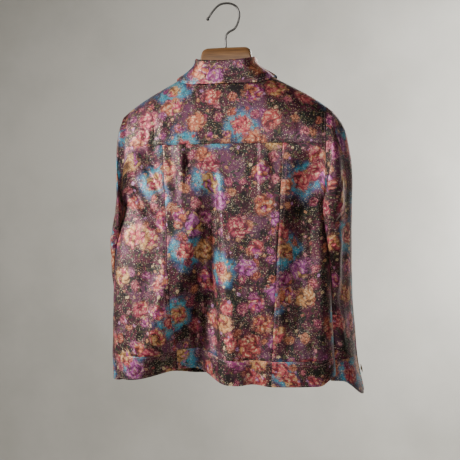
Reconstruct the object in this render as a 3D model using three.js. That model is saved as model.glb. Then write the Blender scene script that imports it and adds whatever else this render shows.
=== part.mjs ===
import * as THREE from "three";

// A hip-length trucker jacket in patterned cloth, hanging on a wooden hanger with a wire hook.
// Millimetres, +Z up. The origin is the inside top of the hook, where a rail would carry it.
// The wearer's left is +X, the front faces -Y and the back faces +Y.
// Every cloth piece is a thin closed wall on a worked-out surface, and its neighbours start a
// seam's gap away. What lies on another piece is made from the same surface, moved out.

const CLOTH = 2;
const SEAM = 0.3;
const ARMHOLE_SEAM = { outside: 0.35, inside: 1.1 };
const HALF_SEAM = SEAM / 2;
const LAYER = 0.4;
const QUARTER = Math.PI / 2;

// Heights of the garment's seams below the hook.
const HEM_Z = -766;
const BAND_Z = -717;
const UNDERARM_Z = -409;
const YOKE_Z = -293;
const TIP_Z = -216;
const NECK_Z = -143;

// Half widths from the centre line.
const NECK_HALF = 78;
const TIP_HALF = 202;
const BACK_SEAM_TOP = 120;
const BACK_SEAM_HEM = 99;
const FRONT_EDGE = 18;
const PLACKET_HALF = 21;

// Shape of the body's sections and of the shoulder that closes them.
const ROUNDNESS = { back: 2.7, front: 2.2 };
const SHOULDER_SLOPE = 0.53;
const TIP_FALL = 0.0021;
const TIP_FALL_FROM = 150;
const RIDGE_DROP = 105;
const ARMHOLE_EDGE = { back: 45, front: 42 };
const ARMHOLE_ROUND = 60;
const ARMHOLE_SOFTEN = 110;
const ARMHOLE_NEAR = 14;
const BACK_NECK_DIP = 20;
const FRONT_NECK_DIP = 72;
const FRONT_NECK_CURVE = 0.8;

const BODY = [
  { z: -766, middle: 3, half: 225, back: 68, front: 56 },
  { z: -690, middle: 9, half: 226, back: 68, front: 56 },
  { z: -600, middle: 12, half: 225, back: 68, front: 56 },
  { z: -510, middle: 12, half: 220, back: 67, front: 55 },
  { z: -430, middle: 8, half: 210, back: 66, front: 54 },
  { z: -370, middle: 4, half: 204, back: 66, front: 53 },
  { z: -293, middle: 0, half: 202, back: 65, front: 51 },
  { z: -216, middle: 0, half: 202, back: 61, front: 49 },
  { z: -120, middle: 0, half: 202, back: 57, front: 48 },
];

// The hang of the cloth. A fold runs down through its rows: it starts at `from`, is deepest at
// `mid` and ends at `to`, all in x, and `deep` is how far it goes in.
const FOLDS = {
  back: [
    [
      { z: -325, from: 34, mid: 14, to: 0, deep: 0 },
      { z: -400, from: 52, mid: 20, to: -2, deep: 15 },
      { z: -503, from: 72, mid: 31, to: -8, deep: 27 },
      { z: -605, from: 104, mid: 43, to: -11, deep: 40 },
      { z: -697, from: 160, mid: 56, to: -15, deep: 54 },
      { z: -766, from: 202, mid: 66, to: -18, deep: 66 },
    ],
    [
      { z: -310, from: -136, mid: -172, to: -197, deep: 0 },
      { z: -400, from: -118, mid: -166, to: -198, deep: 17 },
      { z: -490, from: -104, mid: -158, to: -202, deep: 24 },
      { z: -600, from: -106, mid: -157, to: -204, deep: 15 },
      { z: -720, from: -114, mid: -162, to: -208, deep: 0 },
    ],
    [
      { z: -245, from: 150, mid: 137, to: 122, deep: 0 },
      { z: -270, from: 150, mid: 138, to: 124, deep: 5 },
      { z: -293, from: 152, mid: 140, to: 126, deep: 4 },
      { z: -320, from: 152, mid: 142, to: 128, deep: 0 },
    ],
    [
      { z: -295, from: 186, mid: 168, to: 154, deep: 0 },
      { z: -330, from: 174, mid: 156, to: 140, deep: 9 },
      { z: -370, from: 154, mid: 136, to: 118, deep: 7 },
      { z: -405, from: 134, mid: 116, to: 98, deep: 0 },
    ],
    [
      { z: -372, from: 206, mid: 190, to: 170, deep: 0 },
      { z: -395, from: 198, mid: 176, to: 156, deep: 9 },
      { z: -440, from: 166, mid: 140, to: 118, deep: 10 },
      { z: -490, from: 126, mid: 104, to: 84, deep: 0 },
    ],
    [
      { z: -640, from: -30, mid: -62, to: -96, deep: 0 },
      { z: -700, from: -30, mid: -62, to: -98, deep: 6 },
      { z: -766, from: -28, mid: -62, to: -100, deep: 9 },
    ],
  ],
  front: [
    [
      { z: -300, from: 128, mid: 104, to: 82, deep: 0 },
      { z: -420, from: 138, mid: 108, to: 80, deep: 9 },
      { z: -600, from: 150, mid: 112, to: 76, deep: 15 },
      { z: -766, from: 158, mid: 114, to: 72, deep: 20 },
    ],
    [
      { z: -330, from: -78, mid: -98, to: -122, deep: 0 },
      { z: -450, from: -74, mid: -104, to: -138, deep: 10 },
      { z: -620, from: -70, mid: -108, to: -148, deep: 15 },
      { z: -766, from: -66, mid: -110, to: -156, deep: 18 },
    ],
    [
      { z: -360, from: 196, mid: 176, to: 158, deep: 0 },
      { z: -430, from: 184, mid: 160, to: 136, deep: 6 },
      { z: -520, from: 164, mid: 142, to: 120, deep: 0 },
    ],
    [
      { z: -360, from: -158, mid: -176, to: -196, deep: 0 },
      { z: -430, from: -136, mid: -160, to: -184, deep: 6 },
      { z: -520, from: -120, mid: -142, to: -164, deep: 0 },
    ],
  ],
};
// Where a fold takes cloth in, it also draws the hem up.
const HEM_DRAW = { from: -560, share: 0.3 };
// The waistband curls up at the right side seam.
const HEM_CURL = { from: -700, share: 0.86, rise: 16 };

// One pleat each side of the centre back, its edge facing the centre, released below the yoke.
const PLEAT = { outer: 104, crest: 77, inner: 70 };
const PLEAT_RISE = [
  { z: -440, rise: 0 },
  { z: -380, rise: 4 },
  { z: -335, rise: 7 },
  { z: -293, rise: 4 },
];

// Rows of the body from the hem to the yoke seam. Above it a few more rows close on the
// shoulder line and the neckline.
const ROW_Z = [
  HEM_Z, -742, BAND_Z, -684, -646, -606, -566, -526, -486, -446,
  UNDERARM_Z, -406, -398, -384, -362, -330, YOKE_Z,
];
const BAND_ROW = 2;
const UNDERARM_ROW = 10;
const YOKE_ROW = ROW_Z.length - 1;
const TOP_ROWS = 6;
const LAST_ROW = YOKE_ROW + TOP_ROWS;

// The sleeves' rings. Each has an outer and an inner point, seen from the front, and a middle
// and a half width from front to back. They fan out round the underarm and then hang down.
// `splay` turns a ring, so that its front edge stands further out than its back edge.
const SLEEVES = {
  left: [
    { row: 1, outerX: 212, outerZ: -225, innerX: 217, innerZ: -414, midY: 0, halfY: 47, splay: 0 },
    { row: 2, outerX: 219, outerZ: -241, innerX: 218, innerZ: -419, midY: -2, halfY: 51, splay: 0.02 },
    { row: 3, outerX: 224, outerZ: -263, innerX: 219, innerZ: -426, midY: -4, halfY: 55, splay: 0.05 },
    { row: 4, outerX: 228, outerZ: -293, innerX: 220, innerZ: -436, midY: -8, halfY: 58, splay: 0.09 },
    { row: 5, outerX: 231, outerZ: -331, innerX: 220, innerZ: -450, midY: -13, halfY: 60, splay: 0.12 },
    { row: 6, outerX: 233, outerZ: -376, innerX: 220, innerZ: -470, midY: -19, halfY: 61, splay: 0.13 },
    { row: 7, outerX: 240, outerZ: -426, innerX: 221, innerZ: -496, midY: -28, halfY: 61, splay: 0.08 },
    { row: 8, outerX: 249, outerZ: -478, innerX: 223, innerZ: -530, midY: -38, halfY: 60, splay: 0.02 },
    { row: 9, outerX: 251, outerZ: -538, innerX: 224, innerZ: -572, midY: -50, halfY: 58, splay: 0.02 },
    { row: 10, outerX: 253, outerZ: -604, innerX: 226, innerZ: -622, midY: -60, halfY: 56, splay: 0.04 },
    { row: 11, outerX: 257, outerZ: -666, innerX: 228, innerZ: -674, midY: -67, halfY: 55, splay: 0.08 },
    { row: 12, outerX: 262, outerZ: -724, innerX: 232, innerZ: -727, midY: -72, halfY: 54, splay: 0.1 },
    { row: 14, outerX: 261, outerZ: -781, innerX: 232, innerZ: -781, midY: -76, halfY: 55, splay: 0.1 },
  ],
  right: [
    { row: 1, outerX: 215, outerZ: -225, innerX: 207, innerZ: -414, midY: 0, halfY: 47, splay: 0 },
    { row: 2, outerX: 225, outerZ: -240, innerX: 209, innerZ: -419, midY: -1, halfY: 51, splay: 0 },
    { row: 3, outerX: 235, outerZ: -262, innerX: 211, innerZ: -426, midY: -3, halfY: 56, splay: 0.02 },
    { row: 4, outerX: 243, outerZ: -292, innerX: 213, innerZ: -436, midY: -7, halfY: 60, splay: 0.04 },
    { row: 5, outerX: 248, outerZ: -330, innerX: 215, innerZ: -449, midY: -12, halfY: 63, splay: 0.05 },
    { row: 6, outerX: 251, outerZ: -376, innerX: 217, innerZ: -469, midY: -18, halfY: 64, splay: 0.06 },
    { row: 7, outerX: 250, outerZ: -428, innerX: 219, innerZ: -497, midY: -27, halfY: 64, splay: 0.08 },
    { row: 8, outerX: 250, outerZ: -482, innerX: 219, innerZ: -531, midY: -38, halfY: 62, splay: 0.12 },
    { row: 9, outerX: 250, outerZ: -542, innerX: 217, innerZ: -573, midY: -51, halfY: 59, splay: 0.18 },
    { row: 10, outerX: 252, outerZ: -605, innerX: 216, innerZ: -622, midY: -63, halfY: 57, splay: 0.22 },
    { row: 11, outerX: 257, outerZ: -666, innerX: 220, innerZ: -674, midY: -71, halfY: 55, splay: 0.22 },
    { row: 12, outerX: 263, outerZ: -724, innerX: 228, innerZ: -727, midY: -76, halfY: 54, splay: 0.22 },
    { row: 14, outerX: 273, outerZ: -781, innerX: 238, innerZ: -781, midY: -80, halfY: 55, splay: 0.22 },
  ],
};
const SLEEVE_ROUNDNESS = 2.3;
const CUFF_ROW = 12;
const CUFF_END = 14;
const SLEEVE_DENTS = [
  { row: 7.3, turn: 0.2, rows: 1, turns: 0.12, deep: 8 },
  { row: 8.7, turn: 0.74, rows: 0.9, turns: 0.14, deep: 6 },
  { row: 9.9, turn: 0.16, rows: 0.8, turns: 0.12, deep: 5 },
];
// Where a sleeve would press into the body's side it lies against it, its two layers apart.
const REST = { clear: 4.5, hollow: 2.4 };
// The right cuff is left unfastened: its free corner on the outer side hangs down and out.
const CUFF_CORNER = { turn: 0.02, spread: 0.22, drop: 24, out: 6, back: 12 };
const CUFF_GAP = 0.024;
const CUFF_LAP = 0.09;
const CUFF_BUTTON = 0.91;
const CUFF_STEPS = 22;
// The seams, as turns at the armhole. By the cuff they have wound round by `twist`, so that the
// back seam ends on the sleeve's outer side, where the cuff opens.
const SLEEVE_SEAMS = { back: 0.15, front: 0.7, twist: 0.17 };
const SLIT = { row: 10.6, width: 0.012 };
// A sleeve's columns keep this far from its seams, as a share of a turn.
const SEAM_CLEAR = 0.012;

// The collar at stations from the centre back (0) to the centre front (1): the crest of its fold
// and the lower edge of its fall, which lies `clear` of the body.
const COLLAR = [
  { at: 0, foldX: 0, foldY: 51, foldZ: -130, edgeX: 0, edgeZ: -174, clear: 3 },
  { at: 0.2, foldX: 39, foldY: 47, foldZ: -127, edgeX: 58, edgeZ: -172, clear: 3.2 },
  { at: 0.35, foldX: 55, foldY: 31, foldZ: -121, edgeX: 89, edgeZ: -164, clear: 5 },
  { at: 0.43, foldX: 59, foldY: 17, foldZ: -117, edgeX: 98, edgeZ: -156, clear: 6 },
  { at: 0.5, foldX: 60, foldY: 2, foldZ: -116, edgeX: 103, edgeZ: -151, clear: 4 },
  { at: 0.57, foldX: 59, foldY: -13, foldZ: -119, edgeX: 103, edgeZ: -159, clear: 7 },
  { at: 0.65, foldX: 56, foldY: -27, foldZ: -127, edgeX: 101, edgeZ: -179, clear: 6 },
  { at: 0.8, foldX: 43, foldY: -43, foldZ: -158, edgeX: 86, edgeZ: -222, clear: 6 },
  { at: 0.926, foldX: 21, foldY: -51, foldZ: -184, edgeX: 52, edgeZ: -262, clear: 6 },
];
const COLLAR_ROLL = 2.4;
const COLLAR_ROWS = { stand: 4, roll: 4, fall: 4 };

const BUTTON = { radius: 8.5, rim: 1.6, height: 3.6, shank: 3.5, lift: 1.2, sides: 14 };
const FRONT_BUTTONS = { count: 6, top: -246, step: 86 };

// The hanger's wood, by distance from the centre: its block stands up inside the collar, and
// further out the top of its arms follows the inside of the shoulders.
const HANGER_NECK = [
  { x: 0, top: -88.5, thick: 13, deep: 40 },
  { x: 38, top: -89, thick: 13, deep: 42 },
  { x: 45, top: -91, thick: 13, deep: 42 },
  { x: 49.5, top: -95, thick: 13, deep: 41 },
  { x: 52, top: -104, thick: 13, deep: 36 },
  { x: 56, top: -126, thick: 12.5, deep: 28 },
  { x: 64, top: -143, thick: 12, deep: 22 },
  { x: 74, top: -151, thick: 11, deep: 20 },
];
const HANGER_ARM = [
  { x: 88, thick: 11.5, deep: 24 },
  { x: 110, thick: 12.5, deep: 27 },
  { x: 150, thick: 16, deep: 27 },
  { x: 176, thick: 18, deep: 24 },
  { x: 187, thick: 16, deep: 18 },
];
const HANGER_GAP = 1.3;

// The hook's centre line in the hanger's plane, from the wood to its tip.
const HOOK_WIRE = 4.4;
const HOOK = [
  { x: 1, z: -88.1 },
  { x: 0.5, z: -64 },
  { x: -4.6, z: -57.4 },
  { x: -17.4, z: -50 },
  { x: -24.8, z: -35 },
  { x: -26.7, z: -21.7 },
  { x: -21.5, z: -7 },
  { x: -10.5, z: 0.4 },
  { x: 0, z: 2.2 },
  { x: 11.5, z: 1 },
  { x: 19.8, z: -4 },
  { x: 26.6, z: -11 },
  { x: 32.2, z: -18.2 },
  { x: 36.6, z: -25 },
];
const HOOK_STEPS = 56;
const HOOK_SIDES = 5;
const HOOK_BALL = 3.6;

const clamp01 = (t) => Math.min(1, Math.max(0, t));
const ease = (t) => clamp01(t) * clamp01(t) * (3 - 2 * clamp01(t));
const lerp = THREE.MathUtils.lerp;
const arc = (t) => Math.sqrt(1 - (1 - clamp01(t)) ** 2);
const signedPower = (v, power) => Math.sign(v) * Math.abs(v) ** power;
const range = (from, to) => Array.from({ length: to - from + 1 }, (_, i) => from + i);

// Reads one column of a table at any key between its rows, with smooth slopes and no overshoot.
function read(rows, key, value, column) {
  const up = rows[0][key] < rows[rows.length - 1][key];
  const list = up ? rows : [...rows].reverse();
  if (value <= list[0][key]) return list[0][column];
  if (value >= list[list.length - 1][key]) return list[list.length - 1][column];
  const slope = (i) =>
    (list[i + 1][column] - list[i][column]) / (list[i + 1][key] - list[i][key]);
  const tangent = (i) => {
    if (i === 0) return slope(0);
    if (i === list.length - 1) return slope(i - 1);
    const [a, b] = [slope(i - 1), slope(i)];
    return a * b <= 0 ? 0 : (2 * a * b) / (a + b);
  };
  const i = list.findIndex((row, n) => value < list[n + 1][key]);
  const width = list[i + 1][key] - list[i][key];
  const t = (value - list[i][key]) / width;
  return (
    list[i][column] * (2 * t ** 3 - 3 * t ** 2 + 1) +
    tangent(i) * width * (t ** 3 - 2 * t ** 2 + t) +
    list[i + 1][column] * (3 * t ** 2 - 2 * t ** 3) +
    tangent(i + 1) * width * (t ** 3 - t ** 2)
  );
}

// Height of the shoulder line. Inside the neck it runs on upwards, to shape the neckline.
function ridgeHeight(x) {
  const out = Math.abs(x);
  const fall = Math.max(0, out - TIP_FALL_FROM);
  return NECK_Z - SHOULDER_SLOPE * (out - NECK_HALF) - TIP_FALL * fall * fall;
}

// Top edge of the body: the shoulder line, or the neckline within it.
function topHeight(face, x) {
  const share = Math.abs(x) / NECK_HALF;
  if (share >= 1) return ridgeHeight(x);
  const bowl = 1 - share * share;
  return face > 0
    ? NECK_Z - BACK_NECK_DIP * bowl
    : NECK_Z - FRONT_NECK_DIP * bowl ** FRONT_NECK_CURVE;
}

function foldDepth(folds, x, z) {
  let depth = 0;
  for (const rows of folds) {
    if (z > rows[0].z || z < rows[rows.length - 1].z) continue;
    const mid = read(rows, "z", z, "mid");
    const edge = read(rows, "z", z, x > mid ? "from" : "to");
    const across = (x - mid) / (edge - mid);
    if (across < 1) depth += read(rows, "z", z, "deep") * 0.5 * (1 + Math.cos(Math.PI * across));
  }
  return depth;
}

function pleatRise(x, z) {
  if (z > YOKE_Z) return 0;
  const out = Math.abs(x);
  const rise = read(PLEAT_RISE, "z", z, "rise");
  if (out > PLEAT.crest) return rise * ease((PLEAT.outer - out) / (PLEAT.outer - PLEAT.crest));
  return rise * ease((out - PLEAT.inner) / (PLEAT.crest - PLEAT.inner));
}

// The body's outer surface at a share of its half width and a height. Below the underarm the
// section closes on the side seam. Above it, it opens to the armhole's edge.
function bodyPoint(face, share, z) {
  const x = read(BODY, "z", z, "middle") + read(BODY, "z", z, "half") * share;
  const side = face > 0 ? "back" : "front";
  const out = Math.abs(share);
  const above = z - UNDERARM_Z;
  const soft = ARMHOLE_EDGE[side] * ease(above / ARMHOLE_SOFTEN);
  const rim = ARMHOLE_EDGE[side] * arc(above / ARMHOLE_ROUND);
  const edge = above > 0 ? lerp(soft, rim, out ** ARMHOLE_NEAR) : 0;
  const power = lerp(1 / ROUNDNESS[side], 1, ease(above / ARMHOLE_SOFTEN));
  const full = Math.max(0, 1 - out ** ROUNDNESS[side]) ** power;
  const depth = edge + (read(BODY, "z", z, side) - edge) * full;
  const lift = arc((ridgeHeight(x) - z) / RIDGE_DROP);
  const fold = foldDepth(FOLDS[side], x, z) * (1 - out ** 10);
  const pleat = face > 0 ? pleatRise(x, z) : 0;
  const y = depth * lift + (pleat - fold) * lift;
  const draw = HEM_DRAW.share * fold * clamp01((HEM_DRAW.from - z) / (HEM_DRAW.from - HEM_Z));
  const curled = ease((-share - HEM_CURL.share) / (1 - HEM_CURL.share));
  const curl = HEM_CURL.rise * curled * clamp01((HEM_CURL.from - z) / (HEM_CURL.from - HEM_Z));
  return new THREE.Vector3(x, face * Math.max(y, HALF_SEAM), z + draw + curl);
}

// Columns get closer towards the sides: u runs from -1 to 1 across a face.
const SPREAD = 0.92 * QUARTER;
const shareOf = (u) => Math.sin(u * SPREAD) / Math.sin(SPREAD);
const angleOf = (share) =>
  Math.asin(THREE.MathUtils.clamp(share, -1, 1) * Math.sin(SPREAD)) / SPREAD;
const columnAt = (x, z) =>
  angleOf((x - read(BODY, "z", z, "middle")) / read(BODY, "z", z, "half"));
const NECK_COLUMN = angleOf(NECK_HALF / TIP_HALF);

function rowHeight(face, share, row) {
  if (row <= YOKE_ROW) {
    const i = Math.min(Math.floor(row), YOKE_ROW - 1);
    return lerp(ROW_Z[i], ROW_Z[i + 1], row - i);
  }
  const top = topHeight(face, TIP_HALF * share);
  return lerp(YOKE_Z, top, Math.sin(((row - YOKE_ROW) / TOP_ROWS) * QUARTER));
}

function bodyAt(face, u, row) {
  const share = shareOf(u);
  return bodyPoint(face, share, rowHeight(face, share, row));
}

// Direction out of the body's surface, measured within the rows given. On the side seams and
// the shoulder seams it lies in the seam's plane, so that front and back stay apart.
function bodyNormal(face, u, row, rows) {
  const du = 2e-3;
  const dv = 2e-2;
  const low = Math.max(rows[0], row - dv);
  const high = Math.min(rows[1], row + dv);
  const along = bodyAt(face, Math.min(1, u + du), row).sub(bodyAt(face, Math.max(-1, u - du), row));
  const up = bodyAt(face, u, high).sub(bodyAt(face, u, low));
  const normal = (face > 0 ? up.cross(along) : along.cross(up)).normalize();
  const onSideSeam = Math.abs(u) > 1 - 1e-9 && row < UNDERARM_ROW + 1e-9;
  const onShoulder = row > LAST_ROW - 1e-9 && Math.abs(u) > NECK_COLUMN - 1e-9;
  if (onSideSeam || onShoulder) normal.setY(0).normalize();
  return normal;
}

// A closed mesh whose faces point out, whichever way they were listed.
function facingOut(positions, faces) {
  const corner = (i) => new THREE.Vector3().fromArray(positions, 3 * i);
  let volume = 0;
  for (const [a, b, c] of faces) volume += corner(a).dot(corner(b).cross(corner(c)));
  const geometry = new THREE.BufferGeometry();
  geometry.setAttribute("position", new THREE.Float32BufferAttribute(positions, 3));
  geometry.setIndex(faces.flatMap(([a, b, c]) => (volume > 0 ? [a, b, c] : [a, c, b])));
  geometry.computeVertexNormals();
  return geometry;
}

// The closed wall between two grids of points, joined round their four edges.
function shellGeometry(outside, inside) {
  const rows = outside.length;
  const columns = outside[0].length;
  const positions = [...outside, ...inside].flatMap((line) => line.flatMap((p) => p.toArray()));
  const outer = (r, c) => r * columns + c;
  const inner = (r, c) => (rows + r) * columns + c;
  const faces = [];
  const quad = (a, b, c, d) => faces.push([a, b, c], [a, c, d]);
  for (let r = 0; r + 1 < rows; r++) {
    for (let c = 0; c + 1 < columns; c++) {
      quad(outer(r, c), outer(r, c + 1), outer(r + 1, c + 1), outer(r + 1, c));
      quad(inner(r, c), inner(r + 1, c), inner(r + 1, c + 1), inner(r, c + 1));
    }
  }
  const top = rows - 1;
  const end = columns - 1;
  for (let c = 0; c < end; c++) {
    quad(outer(0, c), inner(0, c), inner(0, c + 1), outer(0, c + 1));
    quad(outer(top, c), outer(top, c + 1), inner(top, c + 1), inner(top, c));
  }
  for (let r = 0; r < top; r++) {
    quad(outer(r, 0), outer(r + 1, 0), inner(r + 1, 0), inner(r, 0));
    quad(outer(r, end), inner(r, end), inner(r + 1, end), outer(r + 1, end));
  }
  return facingOut(positions, faces);
}

// A wall from outer points and their normals, moved out by `lift` where it lies on something.
function wallGeometry(grid, lift = () => 0) {
  const moved = (depth) =>
    grid.map((line) =>
      line.map(({ point, normal }) => point.clone().addScaledVector(normal, lift(point) - depth)),
    );
  return shellGeometry(moved(0), moved(CLOTH));
}

const cloth = () => new THREE.MeshStandardMaterial({ color: 0x6b3a4a, roughness: 0.55 });
const wood = () => new THREE.MeshStandardMaterial({ color: 0x7a5226, roughness: 0.45 });
const steel = () =>
  new THREE.MeshStandardMaterial({ color: 0x6f6f70, roughness: 0.35, metalness: 0.9 });
const brass = () =>
  new THREE.MeshStandardMaterial({ color: 0x5a4a38, roughness: 0.4, metalness: 0.8 });

const jacket = new THREE.Group();
function add(name, geometry, material) {
  const mesh = new THREE.Mesh(geometry, material);
  mesh.name = name;
  jacket.add(mesh);
  return mesh;
}

// The armhole's edge, round from the shoulder tip down the back and up the front, and the turn
// of the sleeve's rings that each of its points belongs to.
const LOOP_HALF = LAST_ROW - UNDERARM_ROW;
const LOOP = 2 * LOOP_HALF;
const loopStep = (i) =>
  i <= LOOP_HALF ? { face: 1, row: LAST_ROW - i } : { face: -1, row: UNDERARM_ROW + i - LOOP_HALF };
const LOOP_TURNS = range(0, LOOP).map((i) => {
  const { face, row } = loopStep(i);
  const z = rowHeight(face, 1, row);
  const cosine = THREE.MathUtils.clamp((2 * (z - UNDERARM_Z)) / (TIP_Z - UNDERARM_Z) - 1, -1, 1);
  const half = Math.acos(cosine) / (2 * Math.PI);
  return i <= LOOP_HALF ? half : 1 - half;
});

// The right armhole is worked out mirrored to the left side, as its sleeve is.
const SIGN = { left: 1, right: -1 };

function armholePoint(side, i) {
  const { face, row } = loopStep(i % LOOP);
  const point = bodyAt(face, SIGN[side], row);
  point.x *= SIGN[side];
  return i % LOOP_HALF === 0 ? point.setY(0) : point;
}

// A point on the outside of a sleeve, or `inset` deep in its wall. `row` counts rings down from
// the armhole and `turn` goes once round, from the outer side by way of the back. The right
// sleeve is worked out on the left side and mirrored.
function ringPoint(side, row, turn, inset) {
  const ring = (column) => read(SLEEVES[side], "row", row, column);
  const outer = new THREE.Vector3(ring("outerX"), 0, ring("outerZ"));
  const inner = new THREE.Vector3(ring("innerX"), 0, ring("innerZ"));
  const angle = turn * 2 * Math.PI;
  const across = signedPower(Math.cos(angle), 2 / SLEEVE_ROUNDNESS);
  const along = signedPower(Math.sin(angle), 2 / SLEEVE_ROUNDNESS);
  const point = outer.clone().add(inner).multiplyScalar(0.5);
  const half = outer.sub(inner).multiplyScalar(0.5);
  point.addScaledVector(half, across);
  point.x -= inset * across;
  point.y = ring("midY") + (ring("halfY") - inset) * along;
  point.x -= ring("splay") * (point.y - ring("midY"));
  for (const dent of SLEEVE_DENTS) {
    const far = Math.hypot((row - dent.row) / dent.rows, (turn - dent.turn) / dent.turns);
    point.x -= Math.sign(across) * dent.deep * (1 - ease(far));
  }
  if (point.z < UNDERARM_Z) {
    const depth = read(BODY, "z", point.z, point.y > 0 ? "back" : "front");
    const power = ROUNDNESS[point.y > 0 ? "back" : "front"];
    const share = Math.max(0, 1 - (Math.abs(point.y) / depth) ** power) ** (1 / power);
    const middleX = SIGN[side] * read(BODY, "z", point.z, "middle");
    const edge = middleX + read(BODY, "z", point.z, "half") * share;
    const layers = REST.clear + CLOTH + REST.hollow / 2;
    point.x = Math.max(point.x, edge + layers + (REST.hollow / 2 + CLOTH - inset) * across);
  }
  if (side === "right" && row > CUFF_ROW) {
    const reach = ((row - CUFF_ROW) / (CUFF_END - CUFF_ROW)) ** 2;
    const far = Math.abs(turn - CUFF_CORNER.turn);
    const near = 1 - ease(Math.min(far, 1 - far) / CUFF_CORNER.spread);
    point.z += reach * (CUFF_CORNER.back * Math.max(0, along) - CUFF_CORNER.drop * near);
    point.x += CUFF_CORNER.out * reach * near;
  }
  return point;
}

const wrap = (turn) => ((turn % 1) + 1) % 1;

// The sleeve's own edge at the armhole, a seam's gap away from the body's.
function mouthPoint(side, turn, depth) {
  const round = wrap(turn);
  const i = LOOP_TURNS.findIndex((t, n) => round < LOOP_TURNS[n + 1]);
  const part = (round - LOOP_TURNS[i]) / (LOOP_TURNS[i + 1] - LOOP_TURNS[i]);
  const from = armholePoint(side, i);
  const to = armholePoint(side, i + 1);
  const normals = LOOP_NORMALS[side];
  const normal = normals[i].clone().lerp(normals[(i + 1) % LOOP], part).normalize();
  const away = to.clone().sub(from).cross(normal).normalize();
  if (away.x < 0) away.negate();
  const gap = lerp(ARMHOLE_SEAM.outside, ARMHOLE_SEAM.inside, depth / CLOTH);
  return from.lerp(to, part).addScaledVector(away, gap).addScaledVector(normal, -depth);
}

// Where the sleeve leaves the body both walls turn to the direction between their own.
function armholeNormals(side) {
  return range(0, LOOP - 1).map((i) => {
    const { face, row } = loopStep(i);
    const body = bodyNormal(face, SIGN[side], row, [UNDERARM_ROW, LAST_ROW]);
    body.x *= SIGN[side];
    const turn = LOOP_TURNS[i];
    const around = ringPoint(side, 1, turn + 4e-3, 0).sub(ringPoint(side, 1, turn - 4e-3, 0));
    const down = ringPoint(side, 1, turn, 0).sub(armholePoint(side, i));
    const sleeve = down.cross(around).normalize();
    const centre = new THREE.Vector3(TIP_HALF, 0, (TIP_Z + UNDERARM_Z) / 2);
    if (sleeve.dot(armholePoint(side, i).sub(centre)) < 0) sleeve.negate();
    const normal = i === LOOP_HALF ? sleeve.setX(1) : body.add(sleeve);
    return i % LOOP_HALF === 0 ? normal.setY(0).normalize() : normal.normalize();
  });
}
const LOOP_NORMALS = { left: armholeNormals("left"), right: armholeNormals("right") };

function armholeNormal(sign, face, row) {
  const i = face > 0 ? LAST_ROW - Math.round(row) : LOOP_HALF + Math.round(row) - UNDERARM_ROW;
  const normal = LOOP_NORMALS[sign > 0 ? "left" : "right"][i % LOOP].clone();
  normal.x *= sign;
  return normal;
}

// A body panel from one column to another on the front or the back. `marks` are columns, or
// functions that give one at a height, and `columns` counts the steps between them.
function bodyPanel({ face, rows, marks, columns, lift }) {
  const measured = [rows[0], rows[rows.length - 1]];
  const grid = rows.map((row) => {
    const z = rowHeight(face, 0, Math.min(row, YOKE_ROW));
    const stops = marks.map((mark) => (typeof mark === "function" ? mark(z) : mark));
    const across = columns.flatMap((count, i) =>
      range(i === 0 ? 0 : 1, count).map((c) => lerp(stops[i], stops[i + 1], c / count)),
    );
    return across.map((u) => {
      const atArmhole = Math.abs(u) > 1 - 1e-9 && row > UNDERARM_ROW - 1e-3;
      const normal = atArmhole
        ? armholeNormal(Math.sign(u), face, row)
        : bodyNormal(face, u, row, measured);
      return { point: bodyAt(face, u, row), normal };
    });
  });
  return wallGeometry(grid, lift);
}

// The rows of a piece between two seams, each end half a seam's gap inside.
const above = (row) => row + HALF_SEAM / (ROW_Z[row + 1] - ROW_Z[row]);
const below = (row) => row - HALF_SEAM / (ROW_Z[row] - ROW_Z[row - 1]);
const YOKE_EDGE = YOKE_ROW + 0.01;
const bandRows = [0, 1, below(BAND_ROW)];
const panelRows = [above(BAND_ROW), ...range(BAND_ROW + 1, YOKE_ROW - 1), below(YOKE_ROW)];
const yokeRows = [YOKE_EDGE, ...range(YOKE_ROW + 1, LAST_ROW)];
const frontRows = [above(BAND_ROW), ...range(BAND_ROW + 1, LAST_ROW)];

const backSeamX = (z) =>
  lerp(BACK_SEAM_HEM, BACK_SEAM_TOP, clamp01((z - BAND_Z) / (YOKE_Z - BAND_Z)));
const backSeam = (side, way) => (z) => columnAt(side * (backSeamX(z) + way * HALF_SEAM), z);
const straight = (x) => (z) => columnAt(x, z);
// The fronts have a column under each end of the neckline, and the neckline's own steps.
const NECK_STEPS = 4;
const SHOULDER_COLUMNS = 8;
const frontNeck = (side) => (z) => (z < YOKE_Z ? columnAt(side * NECK_HALF, z) : side * NECK_COLUMN);

// The pleats' edges get columns of their own, kept inside the panel where it narrows.
const pleatMark = (side, x, share) => (z) => columnAt(side * Math.min(x, share * backSeamX(z)), z);

const centreMarks = [
  backSeam(-1, -1),
  pleatMark(-1, PLEAT.outer, 0.9), pleatMark(-1, PLEAT.crest, 0.76), pleatMark(-1, PLEAT.inner, 0.7),
  pleatMark(1, PLEAT.inner, 0.7), pleatMark(1, PLEAT.crest, 0.76), pleatMark(1, PLEAT.outer, 0.9),
  backSeam(1, -1),
];
const CENTRE_COLUMNS = [1, 2, 1, 13, 1, 2, 1];
const SIDE_COLUMNS = 10;

function makeBack() {
  add("back_yoke", bodyPanel({
    face: 1,
    rows: yokeRows,
    marks: [-1, -NECK_COLUMN, NECK_COLUMN, 1],
    columns: [SHOULDER_COLUMNS, 2 * NECK_STEPS, SHOULDER_COLUMNS],
  }), cloth());
  add("back_center", bodyPanel({
    face: 1, rows: panelRows, marks: centreMarks, columns: CENTRE_COLUMNS,
  }), cloth());
  add("back_side_left", bodyPanel({
    face: 1, rows: panelRows, marks: [backSeam(1, 1), 1], columns: [SIDE_COLUMNS],
  }), cloth());
  add("back_side_right", bodyPanel({
    face: 1, rows: panelRows, marks: [-1, backSeam(-1, 1)], columns: [SIDE_COLUMNS],
  }), cloth());
}

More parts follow.
